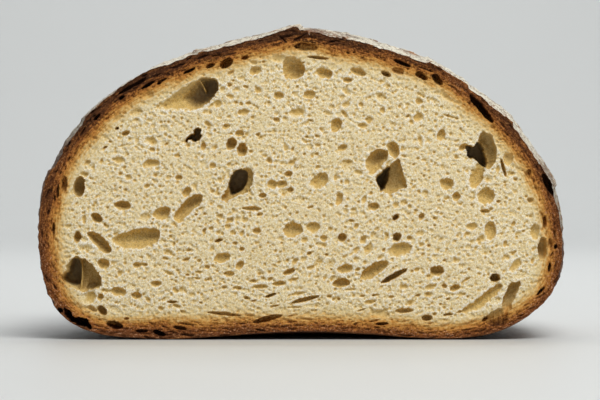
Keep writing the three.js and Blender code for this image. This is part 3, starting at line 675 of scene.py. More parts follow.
def outline_field(depth_of, x, z, warp):
    """Sinks the outlined pores into the cut's depth map."""
    cell = x[1] - x[0]
    for depth, wall, shade, soft, points in OUTLINED:
        curve = rounded_outline(points)
        start, end = curve.min(axis=0) - OUTLINE_ROOM, curve.max(axis=0) + OUTLINE_ROOM
        left, low = (int(value) for value in (start - (x[0], z[0])) / cell)
        right, high = (int(value) for value in (end - (x[0], z[0])) / cell)
        window = np.s_[low:high, left:right]
        gx, gz = np.meshgrid(x[left:right], z[low:high])
        gx = gx + warp[0][window]
        gz = gz + warp[1][window]
        gap = np.full(gx.shape, np.inf)
        inside = np.zeros(gx.shape, dtype=bool)
        for (x0, z0), (x1, z1) in zip(curve, np.roll(curve, -1, axis=0)):
            length = (x1 - x0) ** 2 + (z1 - z0) ** 2 + TINY
            share = np.clip(((gx - x0) * (x1 - x0) + (gz - z0) * (z1 - z0)) / length, 0, 1)
            gap = np.minimum(gap, np.hypot(gx - x0 - share * (x1 - x0), gz - z0 - share * (z1 - z0)))
            crosses = (z0 > gz) != (z1 > gz)
            where = x0 + (gz - z0) * (x1 - x0) / (z1 - z0 if z1 != z0 else TINY)
            inside ^= crosses & (gx < where)
        facing = math.radians(shade)
        lean = gx * math.cos(facing) + gz * math.sin(facing)
        ends = curve @ (math.cos(facing), math.sin(facing))
        lit = soft * np.clip((ends.max() - lean) / np.ptp(ends), 0, 1)
        share = np.clip(gap / (wall * (1 + lit)), 0, 1)
        hollow = depth * (1 - (1 - share) ** 2) ** (0.42 + 0.9 * lit**2) * (1 - LIT_RISE * lit)
        np.maximum(depth_of[window], np.where(inside, hollow, 0), out=depth_of[window])


def thread_field(depth_of, x, z):
    """Raises the threads in the cut's depth map; their sides fall away steeply."""
    gx, gz = np.meshgrid(x, z)
    for x0, z0, x1, z1, first, last, depth in THREADS:
        length = math.hypot(x1 - x0, z1 - z0)
        share = np.clip(((gx - x0) * (x1 - x0) + (gz - z0) * (z1 - z0)) / length**2, 0, 1)
        bow = THREAD_BOW * length * np.sin(share * math.pi)
        gap = np.hypot(gx - x0 - share * (x1 - x0) - bow, gz - z0 - share * (z1 - z0))
        half = first + (last - first) * share
        top = depth + 9 * np.maximum(gap / half - 0.6, 0)
        near = gap < half * 2
        depth_of[near] = np.minimum(depth_of[near], top[near])


# Random pores: the setting that counts them, half thickness in millimetres, how many times longer they
# are, depth as a share of the half thickness, and how far under the crust they lie
SCATTERED = (
    ("middle_pores", (0.9, 1.5), (1.0, 1.6), (0.35, 1.1), (6, 99)),
    ("small_pores", (0.45, 0.9), (1.0, 1.6), (0.3, 1.0), (4, 99)),
    ("crust_pores", (0.22, 0.5), (1.4, 3.8), (0.8, 3.0), (0.3, 6.0)),
)
TRIES = 9  # places tried for each pore wanted
CROWDED = 0.12  # share of a place that may be taken already
TURN_SPREAD = 28  # degrees by which pores turn out of the grain
SHADE_SPREAD = 25  # degrees by which their shaded side turns


def scatter(shell, count, ranges, rng, taken, x, z):
    """Random pores of one kind, kept off ground that is already taken."""
    size_range, stretch, depth_share, zone = ranges
    cell = x[1] - x[0]
    pores = []
    tries = count * TRIES
    px = rng.uniform(x[0], x[-1], tries)
    pz = rng.uniform(z[0], z[-1], tries)
    under = shell.below_crust(np.stack([px, np.full(tries, FRONT), pz], axis=1))
    sizes_of = size_range[0] + (size_range[1] - size_range[0]) * rng.uniform(0, 1, tries) ** 2.2
    stretches = rng.uniform(*stretch, tries)
    turns = rng.normal(0, 1, tries)
    depths = rng.uniform(*depth_share, tries)
    softs = rng.uniform(0.3, 0.95, tries)
    for index in np.flatnonzero((under > zone[0]) & (under < zone[1])):
        if len(pores) >= count:
            break
        size = sizes_of[index]
        low, left = int((pz[index] - z[0]) / cell), int((px[index] - x[0]) / cell)
        reach = int(size / cell) + 1
        spot = np.s_[max(low - reach, 0) : low + reach + 1, max(left - reach, 0) : left + reach + 1]
        if taken[spot].mean() > CROWDED:
            continue
        taken[spot] = True
        tilt, pull = grain(px[index], pz[index], under[index])
        longer = stretches[index] * pull
        tilt += turns[index] * TURN_SPREAD / pull**2
        shade = 90 + SHADE_SPREAD * turns[index]
        shape = (size * longer, size, tilt, size * depths[index], shade, softs[index])
        pores.append((px[index], pz[index], *shape))
    return pores


def foam(x, z, spacing, radii, depths, rng):
    """The finest pores, one in each square of a jittered grid: how deep they are everywhere."""
    columns, rows = (int((line[-1] - line[0]) / spacing) + 4 for line in (x, z))
    centre_x, centre_z = rng.uniform(0, 1, (2, rows, columns))
    radius = rng.uniform(*radii, (rows, columns))
    depth = radius * rng.uniform(*depths, (rows, columns)) * spacing
    gx, gz = (x - x[0]) / spacing + 1, (z - z[0]) / spacing + 1
    field = np.zeros((len(z), len(x)))
    for down, across in np.ndindex(3, 3):
        row, column = gz.astype(int) + down - 1, gx.astype(int) + across - 1
        cells = np.ix_(row, column)
        off_x = (gx - column)[None, :] - centre_x[cells]
        off_z = (gz - row)[:, None] - centre_z[cells]
        round_off = np.clip(1 - (off_x**2 + off_z**2) / radius[cells] ** 2, 0, 1)
        np.maximum(field, depth[cells] * np.sqrt(round_off), out=field)
    return field


def grain(px, pz, under):
    """The way pores lie at a place in the cut: tilt in degrees and how stretched they are."""
    rim = math.exp(-max(under, 0) / 9)  # 1 at the crust
    up = (pz - WAIST) / (DOME if pz > WAIST else WAIST)
    across = px / HALF_WIDTH
    power = 0.85 if up > 0 else 2.2
    out_x = math.copysign(abs(across) ** power, across) / HALF_WIDTH
    out_z = math.copysign(abs(up) ** power, up) / (DOME if up > 0 else WAIST)
    along_crust = (math.degrees(math.atan2(out_x, -out_z)) + 90) % 180 - 90
    base = math.exp(-max(pz, 0) / 22)  # 1 at the base
    # pores low on the right climb to the right, in degrees
    rise = 26 * math.exp(-(((px - 32) / 30) ** 2)) * math.exp(-(((pz - 20) / 16) ** 2))
    hug = smooth(9.0, 5.5, under)  # 1 where pores follow the crust closely
    tilt = rise * (1 - rim) * (1 - hug) + along_crust * max(hug, rim * (1 - base))
    return tilt, 1 + 0.55 * rim + 0.45 * base


KNIFE_BITE = 0.25  # mm, what the knife takes off everywhere
OPENED = 0.25  # mm, ground that a pore has opened further than this counts as taken
HOLLOW_REACH = 0.8  # mm, a hollow is measured against the ground this far round it
HOLLOW_FLOOR = 0.9  # mm, deeper ground counts as no deeper than this
SHADE_REACH = 0.35  # mm, slopes are measured over this for the painted shade on the pores' skins
# The finest pores: spacing in millimetres, radii as shares of it, depths as shares of the radius
FOAM = ((1.25, (0.06, 0.48), (0.35, 1.25)), (0.66, (0.10, 0.50), (0.45, 1.2)))


def cut_depths(shell, x, z):
    """Maps over the cut: how far it lies behind the knife's plane and how hollow it is there, in
    millimetres, and how much it faces down, from 0 to 1.
    """
    rng = np.random.default_rng(SEED)
    gx, gz = np.meshgrid(x, z)
    flat = np.stack([gx.ravel(), np.zeros(gx.size), gz.ravel()], axis=1)
    shape = gx.shape
    broad = [Noise(SEED + 2 + side)(flat, 6.5).reshape(shape) for side in range(2)]
    fine = [Noise(SEED + 4 + side)(flat, 1.9).reshape(shape) for side in range(2)]
    ragged = [Noise(SEED + 15 + side)(flat, 0.8).reshape(shape) for side in range(2)]
    warp = [0.10 * b + 0.18 * f + 0.15 * r for b, f, r in zip(broad, fine, ragged)]
    warp_small = [0.3 * f + 0.2 * r for f, r in zip(fine, ragged)]
    warp_large = [0.35 * f + 0.28 * r for f, r in zip(fine, ragged)]

    depth_of = np.zeros(shape)
    outline_field(depth_of, x, z, warp_large)
    pore_field(depth_of, x, z, PORES, warp)
    pore_field(depth_of, x, z, [(*pore, *LESSER_SHADE) for pore in LESSER_PORES], warp)
    taken = depth_of > OPENED
    for kind, *ranges in SCATTERED:
        pores = scatter(shell, getattr(sizes(), kind), ranges, rng, taken, x, z)
        pore_field(depth_of, x, z, pores, warp if kind == "middle_pores" else warp_small)
    thread_field(depth_of, x, z)

    under = shell.below_crust(flat * (1, 0, 1) + (0, FRONT, 0)).reshape(shape)
    open_crumb = smooth(2.0, 6.5, under)
    quiet = np.exp(-depth_of / 1.5)
    for spacing, radii, depths in FOAM:
        cells = foam(x, z, spacing, radii, depths, rng)
        depth_of += cells * (0.2 + 0.8 * open_crumb) * (0.6 + 0.4 * quiet)

    rough = 0.16 * Noise(SEED + 6)(flat, 9.0) + 0.05 * Noise(SEED + 7)(flat, 1.1)
    rough += 0.04 * Noise(SEED + 8)(flat, 0.6)
    depth_of = depth_of + KNIFE_BITE + rough.reshape(shape) * (0.7 + 0.3 * quiet)
    cell = x[1] - x[0]
    level = blur_both(np.minimum(depth_of, HOLLOW_FLOOR), HOLLOW_REACH / cell)
    # how much the cut faces down, which the crumb's colour turns into painted shade
    slope = np.gradient(blur_both(depth_of, SHADE_REACH / cell), cell, axis=0)
    return depth_of, depth_of - level, 0.5 - 0.5 * slope / np.hypot(1, slope)


# ---------------------------------------------------------------- meshes


def mesh_from_arrays(name, vertices, quads, triangles=()):
    """A mesh from arrays of points, in millimetres, and of faces."""
    mesh = bpy.data.meshes.new(name)
    quads = np.asarray(quads, dtype=np.int32).reshape(-1, 4)
    triangles = np.asarray(triangles, dtype=np.int32).reshape(-1, 3)
    mesh.vertices.add(len(vertices))
    mesh.vertices.foreach_set("co", (np.asarray(vertices) * MM).astype(np.float32).ravel())
    corners = np.concatenate([quads.ravel(), triangles.ravel()])
    mesh.loops.add(len(corners))
    mesh.loops.foreach_set("vertex_index", corners)
    starts = np.concatenate([np.arange(len(quads)) * 4, len(quads) * 4 + np.arange(len(triangles)) * 3])
    mesh.polygons.add(len(starts))
    mesh.polygons.foreach_set("loop_start", starts.astype(np.int32))
    mesh.update(calc_edges=True)
    mesh.validate()
    return mesh


def add_object(name, data):
    """Puts a mesh, a light or a camera into the scene."""
    thing = bpy.data.objects.new(name, data)
    bpy.context.scene.collection.objects.link(thing)
    return thing


def uncut_loaf(shell):
    """The crust as a closed mesh that reaches a little in front of the cut."""
    points = rings(shell)
    normals = outward_normals(points)
    rows, around = points.shape[:2]
    flat = points.reshape(-1, 3)
    moved = flat + normals.reshape(-1, 3) * crust_relief(shell, flat)[:, None]
    moved[:, 2] = np.maximum(moved[:, 2], 0)
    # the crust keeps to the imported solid's width
    moved[:, 0] = np.clip(moved[:, 0], *(corner[0] / MM for corner in CAD_BOX))
    tip = moved.reshape(rows, around, 3)[-1].mean(axis=0)
    nose = moved.reshape(rows, around, 3)[0].mean(axis=0)
    vertices = np.concatenate([moved, [nose, tip]])
    column = np.arange(around)
    after = (column + 1) % around
    near = (np.arange(rows - 1) * around)[:, None]
    quads = np.stack(
        [near + column, near + around + column, near + around + after, near + after], axis=-1
    )
    first, last = rows * around, rows * around + 1
    end = (rows - 1) * around
    caps = np.concatenate(
        [
            np.stack([np.full(around, first), column, after], axis=1),
            np.stack([np.full(around, last), end + after, end + column], axis=1),
        ]
    )
    return mesh_from_arrays("uncut_loaf", vertices, quads, caps)


KNIFE_MARGIN = 3.0  # mm by which the knife's block stands out round the loaf
KNIFE_THICKNESS = 8  # mm in front of the cut


def knife(shell):
    """A closed block in front of the cut. Its back is the cut surface, and every pore stands out of it."""
    cell = sizes().cell / MM * 1
    x = np.arange(-HALF_WIDTH - KNIFE_MARGIN, HALF_WIDTH + KNIFE_MARGIN, cell / 2)
    z = np.arange(-KNIFE_MARGIN, TOP + KNIFE_MARGIN, cell / 2)
    x = x[: len(x) // 2 * 2]
    z = z[: len(z) // 2 * 2]
    depth_of, hollow, shade = (
        0.25 * (field[::2, ::2] + field[1::2, ::2] + field[::2, 1::2] + field[1::2, 1::2])
        for field in cut_depths(shell, x, z)
    )
    x = 0.5 * (x[::2] + x[1::2])
    z = 0.5 * (z[::2] + z[1::2])
    gx, gz = np.meshgrid(x, z)
    rows, columns = gx.shape
    back = np.stack([gx, FRONT + depth_of, gz], axis=-1).reshape(-1, 3)
    edge = np.concatenate(
        [
            np.arange(columns),
            np.arange(1, rows) * columns + columns - 1,
            (rows - 1) * columns + np.arange(columns - 2, -1, -1),
            np.arange(rows - 2, 0, -1) * columns,
        ]
    )
    front = back[edge] * (1, 0, 1) + (0, FRONT - KNIFE_THICKNESS, 0)
    centre = np.array([[0, FRONT - KNIFE_THICKNESS, TOP / 2]])
    vertices = np.concatenate([back, front, centre])
    row, column = np.meshgrid(np.arange(rows - 1), np.arange(columns - 1), indexing="ij")
    corner = (row * columns + column).ravel()
    faces = np.stack([corner, corner + columns, corner + columns + 1, corner + 1], axis=1)
    ring = len(back) + np.arange(len(edge))
    following = np.roll(ring, -1)
    walls = np.stack([edge, np.roll(edge, -1), following, ring], axis=1)
    lid = np.stack([ring, following, np.full(len(ring), len(vertices) - 1)], axis=1)
    block = mesh_from_arrays("knife", vertices, np.concatenate([faces, walls]), lid)
    return block, {"hollow": (x, z, hollow), "shade": (x, z, shade)}


def cut_open(loaf, tool):
    """Takes the knife's block out of the loaf and leaves the result in the loaf's mesh."""
    modifier = loaf.modifiers.new("cut", "BOOLEAN")
    modifier.operation = "DIFFERENCE"
    modifier.solver = "MANIFOLD"
    modifier.object = tool
    graph = bpy.context.evaluated_depsgraph_get()
    cut = bpy.data.meshes.new_from_object(loaf.evaluated_get(graph))
    loaf.modifiers.clear()
    old = loaf.data
    if len(cut.polygons) <= len(old.polygons):
        raise RuntimeError("the cut took nothing out of the loaf")
    loaf.data = cut
    bpy.data.meshes.remove(old)
    bpy.data.objects.remove(tool)


def store(mesh, name, values):
    """Keeps one value for each point of a mesh, for its materials."""
    attribute = mesh.attributes.new(name, "FLOAT", "POINT")
    attribute.data.foreach_set("value", np.asarray(values, dtype=np.float32))


def mesh_points(mesh):
    """The points of a mesh, in millimetres."""
    points = np.empty(len(mesh.vertices) * 3, dtype=np.float32)
    mesh.vertices.foreach_get("co", points)
    return points.reshape(-1, 3).astype(float) / MM


def look_up(field_map, points):
    """Values of a map over the cut, at the points."""
    x, z, field = field_map
    column = np.clip((points[:, 0] - x[0]) / (x[1] - x[0]), 0, len(x) - 1.001)
    row = np.clip((points[:, 2] - z[0]) / (z[1] - z[0]), 0, len(z) - 1.001)
    left, low = column.astype(int), row.astype(int)
    u, v = column - left, row - low
    first = field[low, left] * (1 - u) + field[low, left + 1] * u
    second = field[low + 1, left] * (1 - u) + field[low + 1, left + 1] * u
    return first * (1 - v) + second * v


UNROLLED_RADIUS = 75  # mm, the crust's fibres are drawn round a cylinder of this radius


def describe_surface(mesh, shell, maps):
    """Stores what the materials need: depth below the crust, depth behind the knife, flour and score."""
    points = mesh_points(mesh)
    angle, depth, distance = shell.polar(points)
    edge, _ = edge_drop(angle)
    deeper = np.interp(degrees_round(angle), BAKED_ANGLES, BAKED_DEEPER)
    store(mesh, "under", shell.below_crust(points) - edge - deeper)
    store(mesh, "pit", depth)
    for name, field_map in maps.items():
        store(mesh, name, look_up(field_map, points))
    store(mesh, "round_x", np.cos(angle) * UNROLLED_RADIUS)
    store(mesh, "round_z", np.sin(angle) * UNROLLED_RADIUS)
    # the crown is baked darkest, and more so on its left
    crown = smooth(-0.3, 0.75, np.sin(angle)) * (1 - 0.4 * smooth(0.1, 0.8, np.cos(angle)))
    store(mesh, "char", np.clip(crown + 0.6 * Noise(SEED + 10)(points, 16.0), 0, 1))
    score, _ = score_profile(angle, depth, distance, points, Noise(SEED + 1))
    patchy = Noise(SEED + 9)
    flour = smooth(14, 62, points[:, 2]) * (0.95 + 0.5 * patchy(points, 30.0) + 0.3 * patchy(points, 9.0))
    # less flour on the left flank beside the cut, leaving its darker crust there as painted shade
    flour *= 1 - 0.5 * smooth(-0.72, -0.95, np.cos(angle)) * smooth(30, 5, depth)
    flour *= 1 - 0.9 * tears(points, depth)
    store(mesh, "flour", np.clip(flour, 0, 1))
    store(mesh, "score", score)


CUT_FACE = 1  # the cut face's place among the loaf's materials
MAP_SPLIT = 0.58  # height of the map that the cut face takes
MAP_GAP = 0.02  # height left free over it
MAP_CRUST = 1 - MAP_SPLIT - 0.03  # height that the crust takes
MAP_TURN = 0.98  # width that one turn round the loaf takes


def bake_map(mesh):
    """Lays the cut face out flat and unrolls the crust round the loaf above it, in one map."""
    points = mesh_points(mesh)
    corners = np.empty(len(mesh.loops), dtype=np.int32)
    mesh.loops.foreach_get("vertex_index", corners)
    totals = np.empty(len(mesh.polygons), dtype=np.int32)
    mesh.polygons.foreach_get("loop_total", totals)
    kinds = np.empty(len(mesh.polygons), dtype=np.int32)
    mesh.polygons.foreach_get("material_index", kinds)
    face = np.repeat(np.arange(len(totals)), totals)
    at = points[corners]
    flat_u = (at[:, 0] + HALF_WIDTH) / (2 * HALF_WIDTH)
    flat_v = at[:, 2] / TOP * MAP_SPLIT
    turn = (np.arctan2(at[:, 2] - WAIST, at[:, 0]) + math.pi / 2) % (2 * math.pi) / (2 * math.pi)
    starts = np.concatenate([[0], np.cumsum(totals)[:-1]])
    widest = np.maximum.reduceat(turn, starts)
    turn = np.where((widest[face] - turn) > 0.5, turn + 1, turn) * MAP_TURN
    reach = np.arcsin(np.clip((at[:, 1] - FRONT) / LENGTH, 0, 1)) / (math.pi / 2)
    round_v = MAP_SPLIT + MAP_GAP + MAP_CRUST * reach
    cut = kinds[face] == CUT_FACE
    uv = np.stack([np.where(cut, flat_u, turn), np.where(cut, flat_v, round_v)], axis=1)
    layer = mesh.uv_layers.new(name="OFBake")
    layer.data.foreach_set("uv", uv.astype(np.float32).ravel())


# ---------------------------------------------------------------- shader maths


class Wire:
    """A shader socket for Python expressions. Values give Math nodes, vectors Vector Math nodes."""

    def __init__(self, graph, socket):
        self.graph = graph
        self.socket = socket

    def _join(self, operation, first, second):
        """Adds the node for one operation; a lone number beside a vector counts for all its parts."""
        sides = (first, second)
        kind, result = "ShaderNodeMath", "Value"
        if any(isinstance(side, tuple) or getattr(side, "is_vector", False) for side in sides):
            sides = (side if isinstance(side, (Wire, tuple)) else (side,) * 3 for side in sides)
            kind, result = "ShaderNodeVectorMath", "Vector"
        return self.graph.node(kind, {"operation": operation}, dict(enumerate(sides)))[result]

    @property
    def is_vector(self):
        return self.socket.type in ("VECTOR", "RGBA")

    def __add__(self, other):
        return self._join("ADD", self, other)

    def __radd__(self, other):
        return self._join("ADD", other, self)

    def __sub__(self, other):
        return self._join("SUBTRACT", self, other)

    def __rsub__(self, other):
        return self._join("SUBTRACT", other, self)

    def __mul__(self, other):
        return self._join("MULTIPLY", self, other)

    def __rmul__(self, other):
        return self._join("MULTIPLY", other, self)

    def __truediv__(self, other):
        return self._join("DIVIDE", self, other)

    def __rtruediv__(self, other):
        return self._join("DIVIDE", other, self)


class Graph:
    """One material's nodes."""

    def __init__(self, name):
        self.material = bpy.data.materials.new(name)
        self.material.use_nodes = True
        self.tree = self.material.node_tree
        self.tree.nodes.clear()

    def node(self, kind, settings=None, inputs=None):
        """Adds a node: its settings first, then the values or links of its sockets."""
        made = self.tree.nodes.new(kind)
        for key, value in (settings or {}).items():
            if key == "stops":
                ramp = made.color_ramp
                while len(ramp.elements) < len(value):
                    ramp.elements.new(1.0)
                for index, (place, colour) in enumerate(value):
                    ramp.elements[index].position = place
                    ramp.elements[index].color = (*colour, 1.0)
            else:
                setattr(made, key, value)
        for key, value in (inputs or {}).items():
            socket = made.inputs[key]
            if isinstance(value, Wire):
                self.tree.links.new(value.socket, socket)
            elif socket.type == "RGBA" and len(value) == 3:
                socket.default_value = (*value, 1.0)
            else:
                socket.default_value = value
        return {out.name: Wire(self, out) for out in made.outputs if out.enabled}

    def attribute(self, name):
        """Values stored on the mesh."""
        return self.node("ShaderNodeAttribute", {"attribute_name": name})["Fac"]

    def mix(self, share, first, second):
        """Colours, from first to second."""
        # by number, because sockets for other kinds of values share these names
        sockets = {0: share, 6: first, 7: second}
        return self.node("ShaderNodeMix", {"data_type": "RGBA"}, sockets)["Result"]

    def over(self, base, *coats):
        """Lays coats over a colour, each given by its share and its own colour."""
        for share, colour in coats:
            base = self.mix(share, base, colour)
        return base

    def ramp(self, value, low, high):
        """0 at low, 1 at high, on an even curve between."""
        ends = {"Value": value, "From Min": low, "From Max": high}
        return self.node("ShaderNodeMapRange", {"interpolation_type": "SMOOTHSTEP"}, ends)["Result"]

    def place(self):
        """Places on the object, in metres."""
        return self.node("ShaderNodeTexCoord")["Object"]

    def noise(self, scale, detail=3.0, roughness=0.55, place=None):
        """Noise over the object, scale in features per metre."""
        inputs = {"Vector": place or self.place(), "Scale": scale, "Detail": detail, "Roughness": roughness}
        return self.node("ShaderNodeTexNoise", {}, inputs)["Fac"]

    def bent_place(self, scale, reach):
        """Places on the object, shifted about by reach, in metres."""
        inputs = {"Vector": self.place(), "Scale": scale, "Detail": 2.0}
        colours_of = self.node("ShaderNodeTexNoise", {}, inputs)["Color"]
        return self.place() + (colours_of - 0.5) * reach

    def cells(self, place, scale, feature="F1"):
        """Distance from the middles, or from the edges, of irregular cells."""
        inputs = {"Vector": place, "Scale": scale, "Randomness": 1.0}
        return self.node("ShaderNodeTexVoronoi", {"feature": feature}, inputs)["Distance"]

    def fibres(self, along, across):
        """Noise drawn out along the crust: features per millimetre round the loaf and into it."""
        sides = {
            "X": self.attribute("round_x") * along,
            "Y": self.attribute("round_z") * along,
            "Z": self.attribute("under") * across,
        }
        return self.noise(1.0, 4.0, 0.65, self.node("ShaderNodeCombineXYZ", {}, sides)["Vector"])

    def bump(self, height, distance, strength):
        """Fine relief, its distance in metres."""
        inputs = {"Height": height, "Distance": distance, "Strength": strength}
        return self.node("ShaderNodeBump", {}, inputs)["Normal"]

    def finish(self, inputs):
        """Closes the material with one shader."""
        shader = self.node("ShaderNodeBsdfPrincipled", {}, inputs)["BSDF"]
        self.node("ShaderNodeOutputMaterial", {}, {"Surface": shader})
        return self.material


CRUST_SCALE = 11.0  # mm of depth that the crust's layers are spread over

# Colours of the crumb, scene linear
CRUMB_PATCH = (0.895, 0.77, 0.465)
CRUMB_RIDGE_HIGHLIGHT = (0.98, 0.935, 0.80)  # walls that stand proud: pale crumb with a painted highlight
CRUMB_GRIT = (0.68, 0.48, 0.19)
CRUMB_DIM = (0.62, 0.42, 0.15)
CRUMB_BRIGHT = (1.0, 0.985, 0.93)
# pores too fine for the mesh, painted as darker dots: painted shade over amber skin
BUBBLE_PAINTED_SHADE = (0.56, 0.35, 0.10)
SPECK_PAINTED_SHADE = (0.60, 0.39, 0.12)
LINING_PAINTED_LIT = (0.65, 0.45, 0.15)  # amber skin of the deeper pores, painted lit where it faces up
LINING_PAINTED_SHADE = (0.64, 0.385, 0.09)  # and painted shade where it faces down
LINING_DARK = (0.31, 0.195, 0.060)
LINING_BRIGHT = (0.74, 0.60, 0.35)
FILM_PAINTED_SHADE = (0.415, 0.272, 0.092)  # inside the cavities: painted shade over their filmy walls
# its paler grains, also painted shade
FILM_PAINTED_SHADE_PALE = (0.55, 0.40, 0.17)
CAVITY_PAINTED_SHADE = (0.44, 0.34, 0.20)  # painted shade at the back of the deepest

# Colours of the cut crust, scene linear
SEAM = (0.45, 0.17, 0.040)
BURNT = (0.022, 0.010, 0.006)
BAKED_GRIT = (0.040, 0.014, 0.006)
# painted shade in the flat pores of the cut crust
BAKED_PORE_SHADE = (0.035, 0.013, 0.007)
GOLD_PALE = (0.60, 0.37, 0.23)  # golden grains in lightly baked crust
GOLD = (0.66, 0.31, 0.105)  # and in dark crust

# Colours of the outside, scene linear
BROWN_DARK = (0.085, 0.030, 0.011)
BROWN = (0.26, 0.105, 0.030)
BROWN_LIGHT = (0.40, 0.19, 0.065)
BROWN_SPECK = (0.045, 0.018, 0.009)
# painted shade in the small pits that the bump sinks
BROWN_PIT_SHADE = (0.035, 0.014, 0.007)
BROWN_GRAIN = (0.36, 0.17, 0.055)
THIN_FLOUR = (0.70, 0.64, 0.50)


def crumb_colour(graph, speckle, patches, grit, hollow):
    """Pale crumb with painted light: painted shade in its small pores, amber skins in the larger ones painted
    darker with depth, lit facing up and shaded facing down, and painted highlights on walls that stand proud.
    """
    tones = colours()
    pit = graph.attribute("pit")
    grain = graph.noise(3100.0, 1.0, 0.5)
    # dots painted for pores too fine for the mesh, darker as painted shade
    shaded_bubbles = graph.ramp(graph.cells(graph.place(), 950.0), 0.36, 0.20) * graph.ramp(patches, 0.30, 0.55)
    shaded_specks = graph.ramp(graph.cells(graph.place(), 1600.0), 0.34, 0.20)
    walls = graph.over(
        tones.crumb,
        (graph.ramp(patches, 0.35, 0.65), CRUMB_PATCH),
        # painted highlight on the walls that stand proud
        (graph.ramp(hollow, 0.0, -0.25), CRUMB_RIDGE_HIGHLIGHT),
        (graph.ramp(grit, 0.52, 0.36) * 0.5, CRUMB_GRIT),
        (graph.ramp(grain, 0.56, 0.40) * 0.35, CRUMB_DIM),
        (graph.ramp(grain, 0.54, 0.68) * 0.6, CRUMB_BRIGHT),
        (shaded_bubbles * 0.62, BUBBLE_PAINTED_SHADE),
        (shaded_specks * 0.45, SPECK_PAINTED_SHADE),
        # painted shade in the small pores, where the cut is hollow
        (graph.ramp(hollow + (speckle - 0.5) * 0.2, 0.03, 0.42), tones.pore),
    )
    lining_painted_shade = graph.over(
        LINING_PAINTED_LIT,
        # painted shade on the skin where it faces down
        (graph.ramp(graph.attribute("shade"), 0.30, 0.80), LINING_PAINTED_SHADE),
        (graph.ramp(grit, 0.54, 0.40) * 0.6, LINING_DARK),
        (graph.ramp(grain, 0.54, 0.66) * 0.5, LINING_BRIGHT),
    )
    # painted shade that deepens with the depth behind the cut: pore skins, cavity film, the back of the
    # deepest
    return graph.over(
        walls,
        (graph.ramp(pit, 0.8, 2.0), lining_painted_shade),
        (graph.ramp(pit, 2.6, 5.0), graph.mix(graph.ramp(grit, 0.42, 0.60), FILM_PAINTED_SHADE, FILM_PAINTED_SHADE_PALE)),
        (graph.ramp(pit, 5.5, 9.0), CAVITY_PAINTED_SHADE),
    )


def baked_colour(graph, speckle, grit, hollow, under, char):
    """The crust's layers from dark skin to pale gold, with burnt seams, grit, and painted shade in its flat
    pores.
    """
    tones = colours()
    stops = (
        (0.0, (0.165, 0.058, 0.020)),
        (0.18, (0.20, 0.066, 0.020)),
        (0.27, (0.28, 0.095, 0.022)),
        (0.36, tones.toast),
        (0.48, (0.57, 0.27, 0.060)),
        (0.62, (0.70, 0.45, 0.155)),
        (0.80, (0.76, 0.59, 0.29)),
    )
    layers = graph.node("ShaderNodeValToRGB", {"stops": stops}, {"Fac": under / CRUST_SCALE})["Color"]
    crusty = graph.ramp(under, 6.5, 3.5)
    grit = graph.fibres(0.9, 2.4) * 0.5 + grit * 0.5
    seams = graph.fibres(0.10, 1.3)
    burnt = graph.ramp(seams + (speckle - 0.5) * 0.3, 0.46, 0.38) * (0.25 + 0.75 * char)
    golden = graph.ramp(grit, 0.53, 0.63) * (1 - 0.7 * char * graph.ramp(under, 4.2, 2.4))
    return graph.over(
        layers,
        (char * graph.ramp(under, 3.8, 2.0) * 0.7, tones.crust),
        (graph.ramp(seams, 0.56, 0.66) * crusty * 0.45, SEAM),
        (burnt * crusty * 0.85, BURNT),
        (graph.ramp(grit, 0.50, 0.40) * crusty * 0.75, BAKED_GRIT),
        (golden * crusty * 0.65, graph.mix(char * 2, GOLD_PALE, GOLD)),
        # painted shade in the crust's flat pores
        (graph.ramp(hollow, 0.10, 0.6) * (0.6 + 0.3 * char) * crusty, BAKED_PORE_SHADE),
    )


def cut_material():
    """The cut face: crumb that passes into the crust's baked layers, by the depth under the crust."""
    graph = Graph("bread_cut")
    speckle = graph.noise(1100.0, 2.0)
    patches = graph.noise(110.0, 3.0)
    grit = graph.noise(2100.0, 2.0, 0.6)
    hollow = graph.attribute("hollow")
    char = graph.attribute("char")
    under = graph.attribute("under") + (speckle - 0.5) * 3.6 + (graph.fibres(0.25, 2.0) - 0.5) * 5.5
    under = under + (patches - 0.5) * 3.0 + (1 - char) * 0.9 + 0.25
    full = sizes().crust_full / MM
    crumb = crumb_colour(graph, speckle, patches, grit, hollow)
    baked = baked_colour(graph, speckle, grit, hollow, under, char)
    height = graph.noise(2600.0, 2.0) * 0.5 + speckle * 0.5
    return graph.finish(
        {
            "Base Color": graph.mix(graph.ramp(under, full * 0.8, full * 1.75), baked, crumb),
            "Roughness": 0.8,
            "Specular IOR Level": 0.06,
            "Normal": graph.bump(height, 0.0002, 0.35),
        }
    )


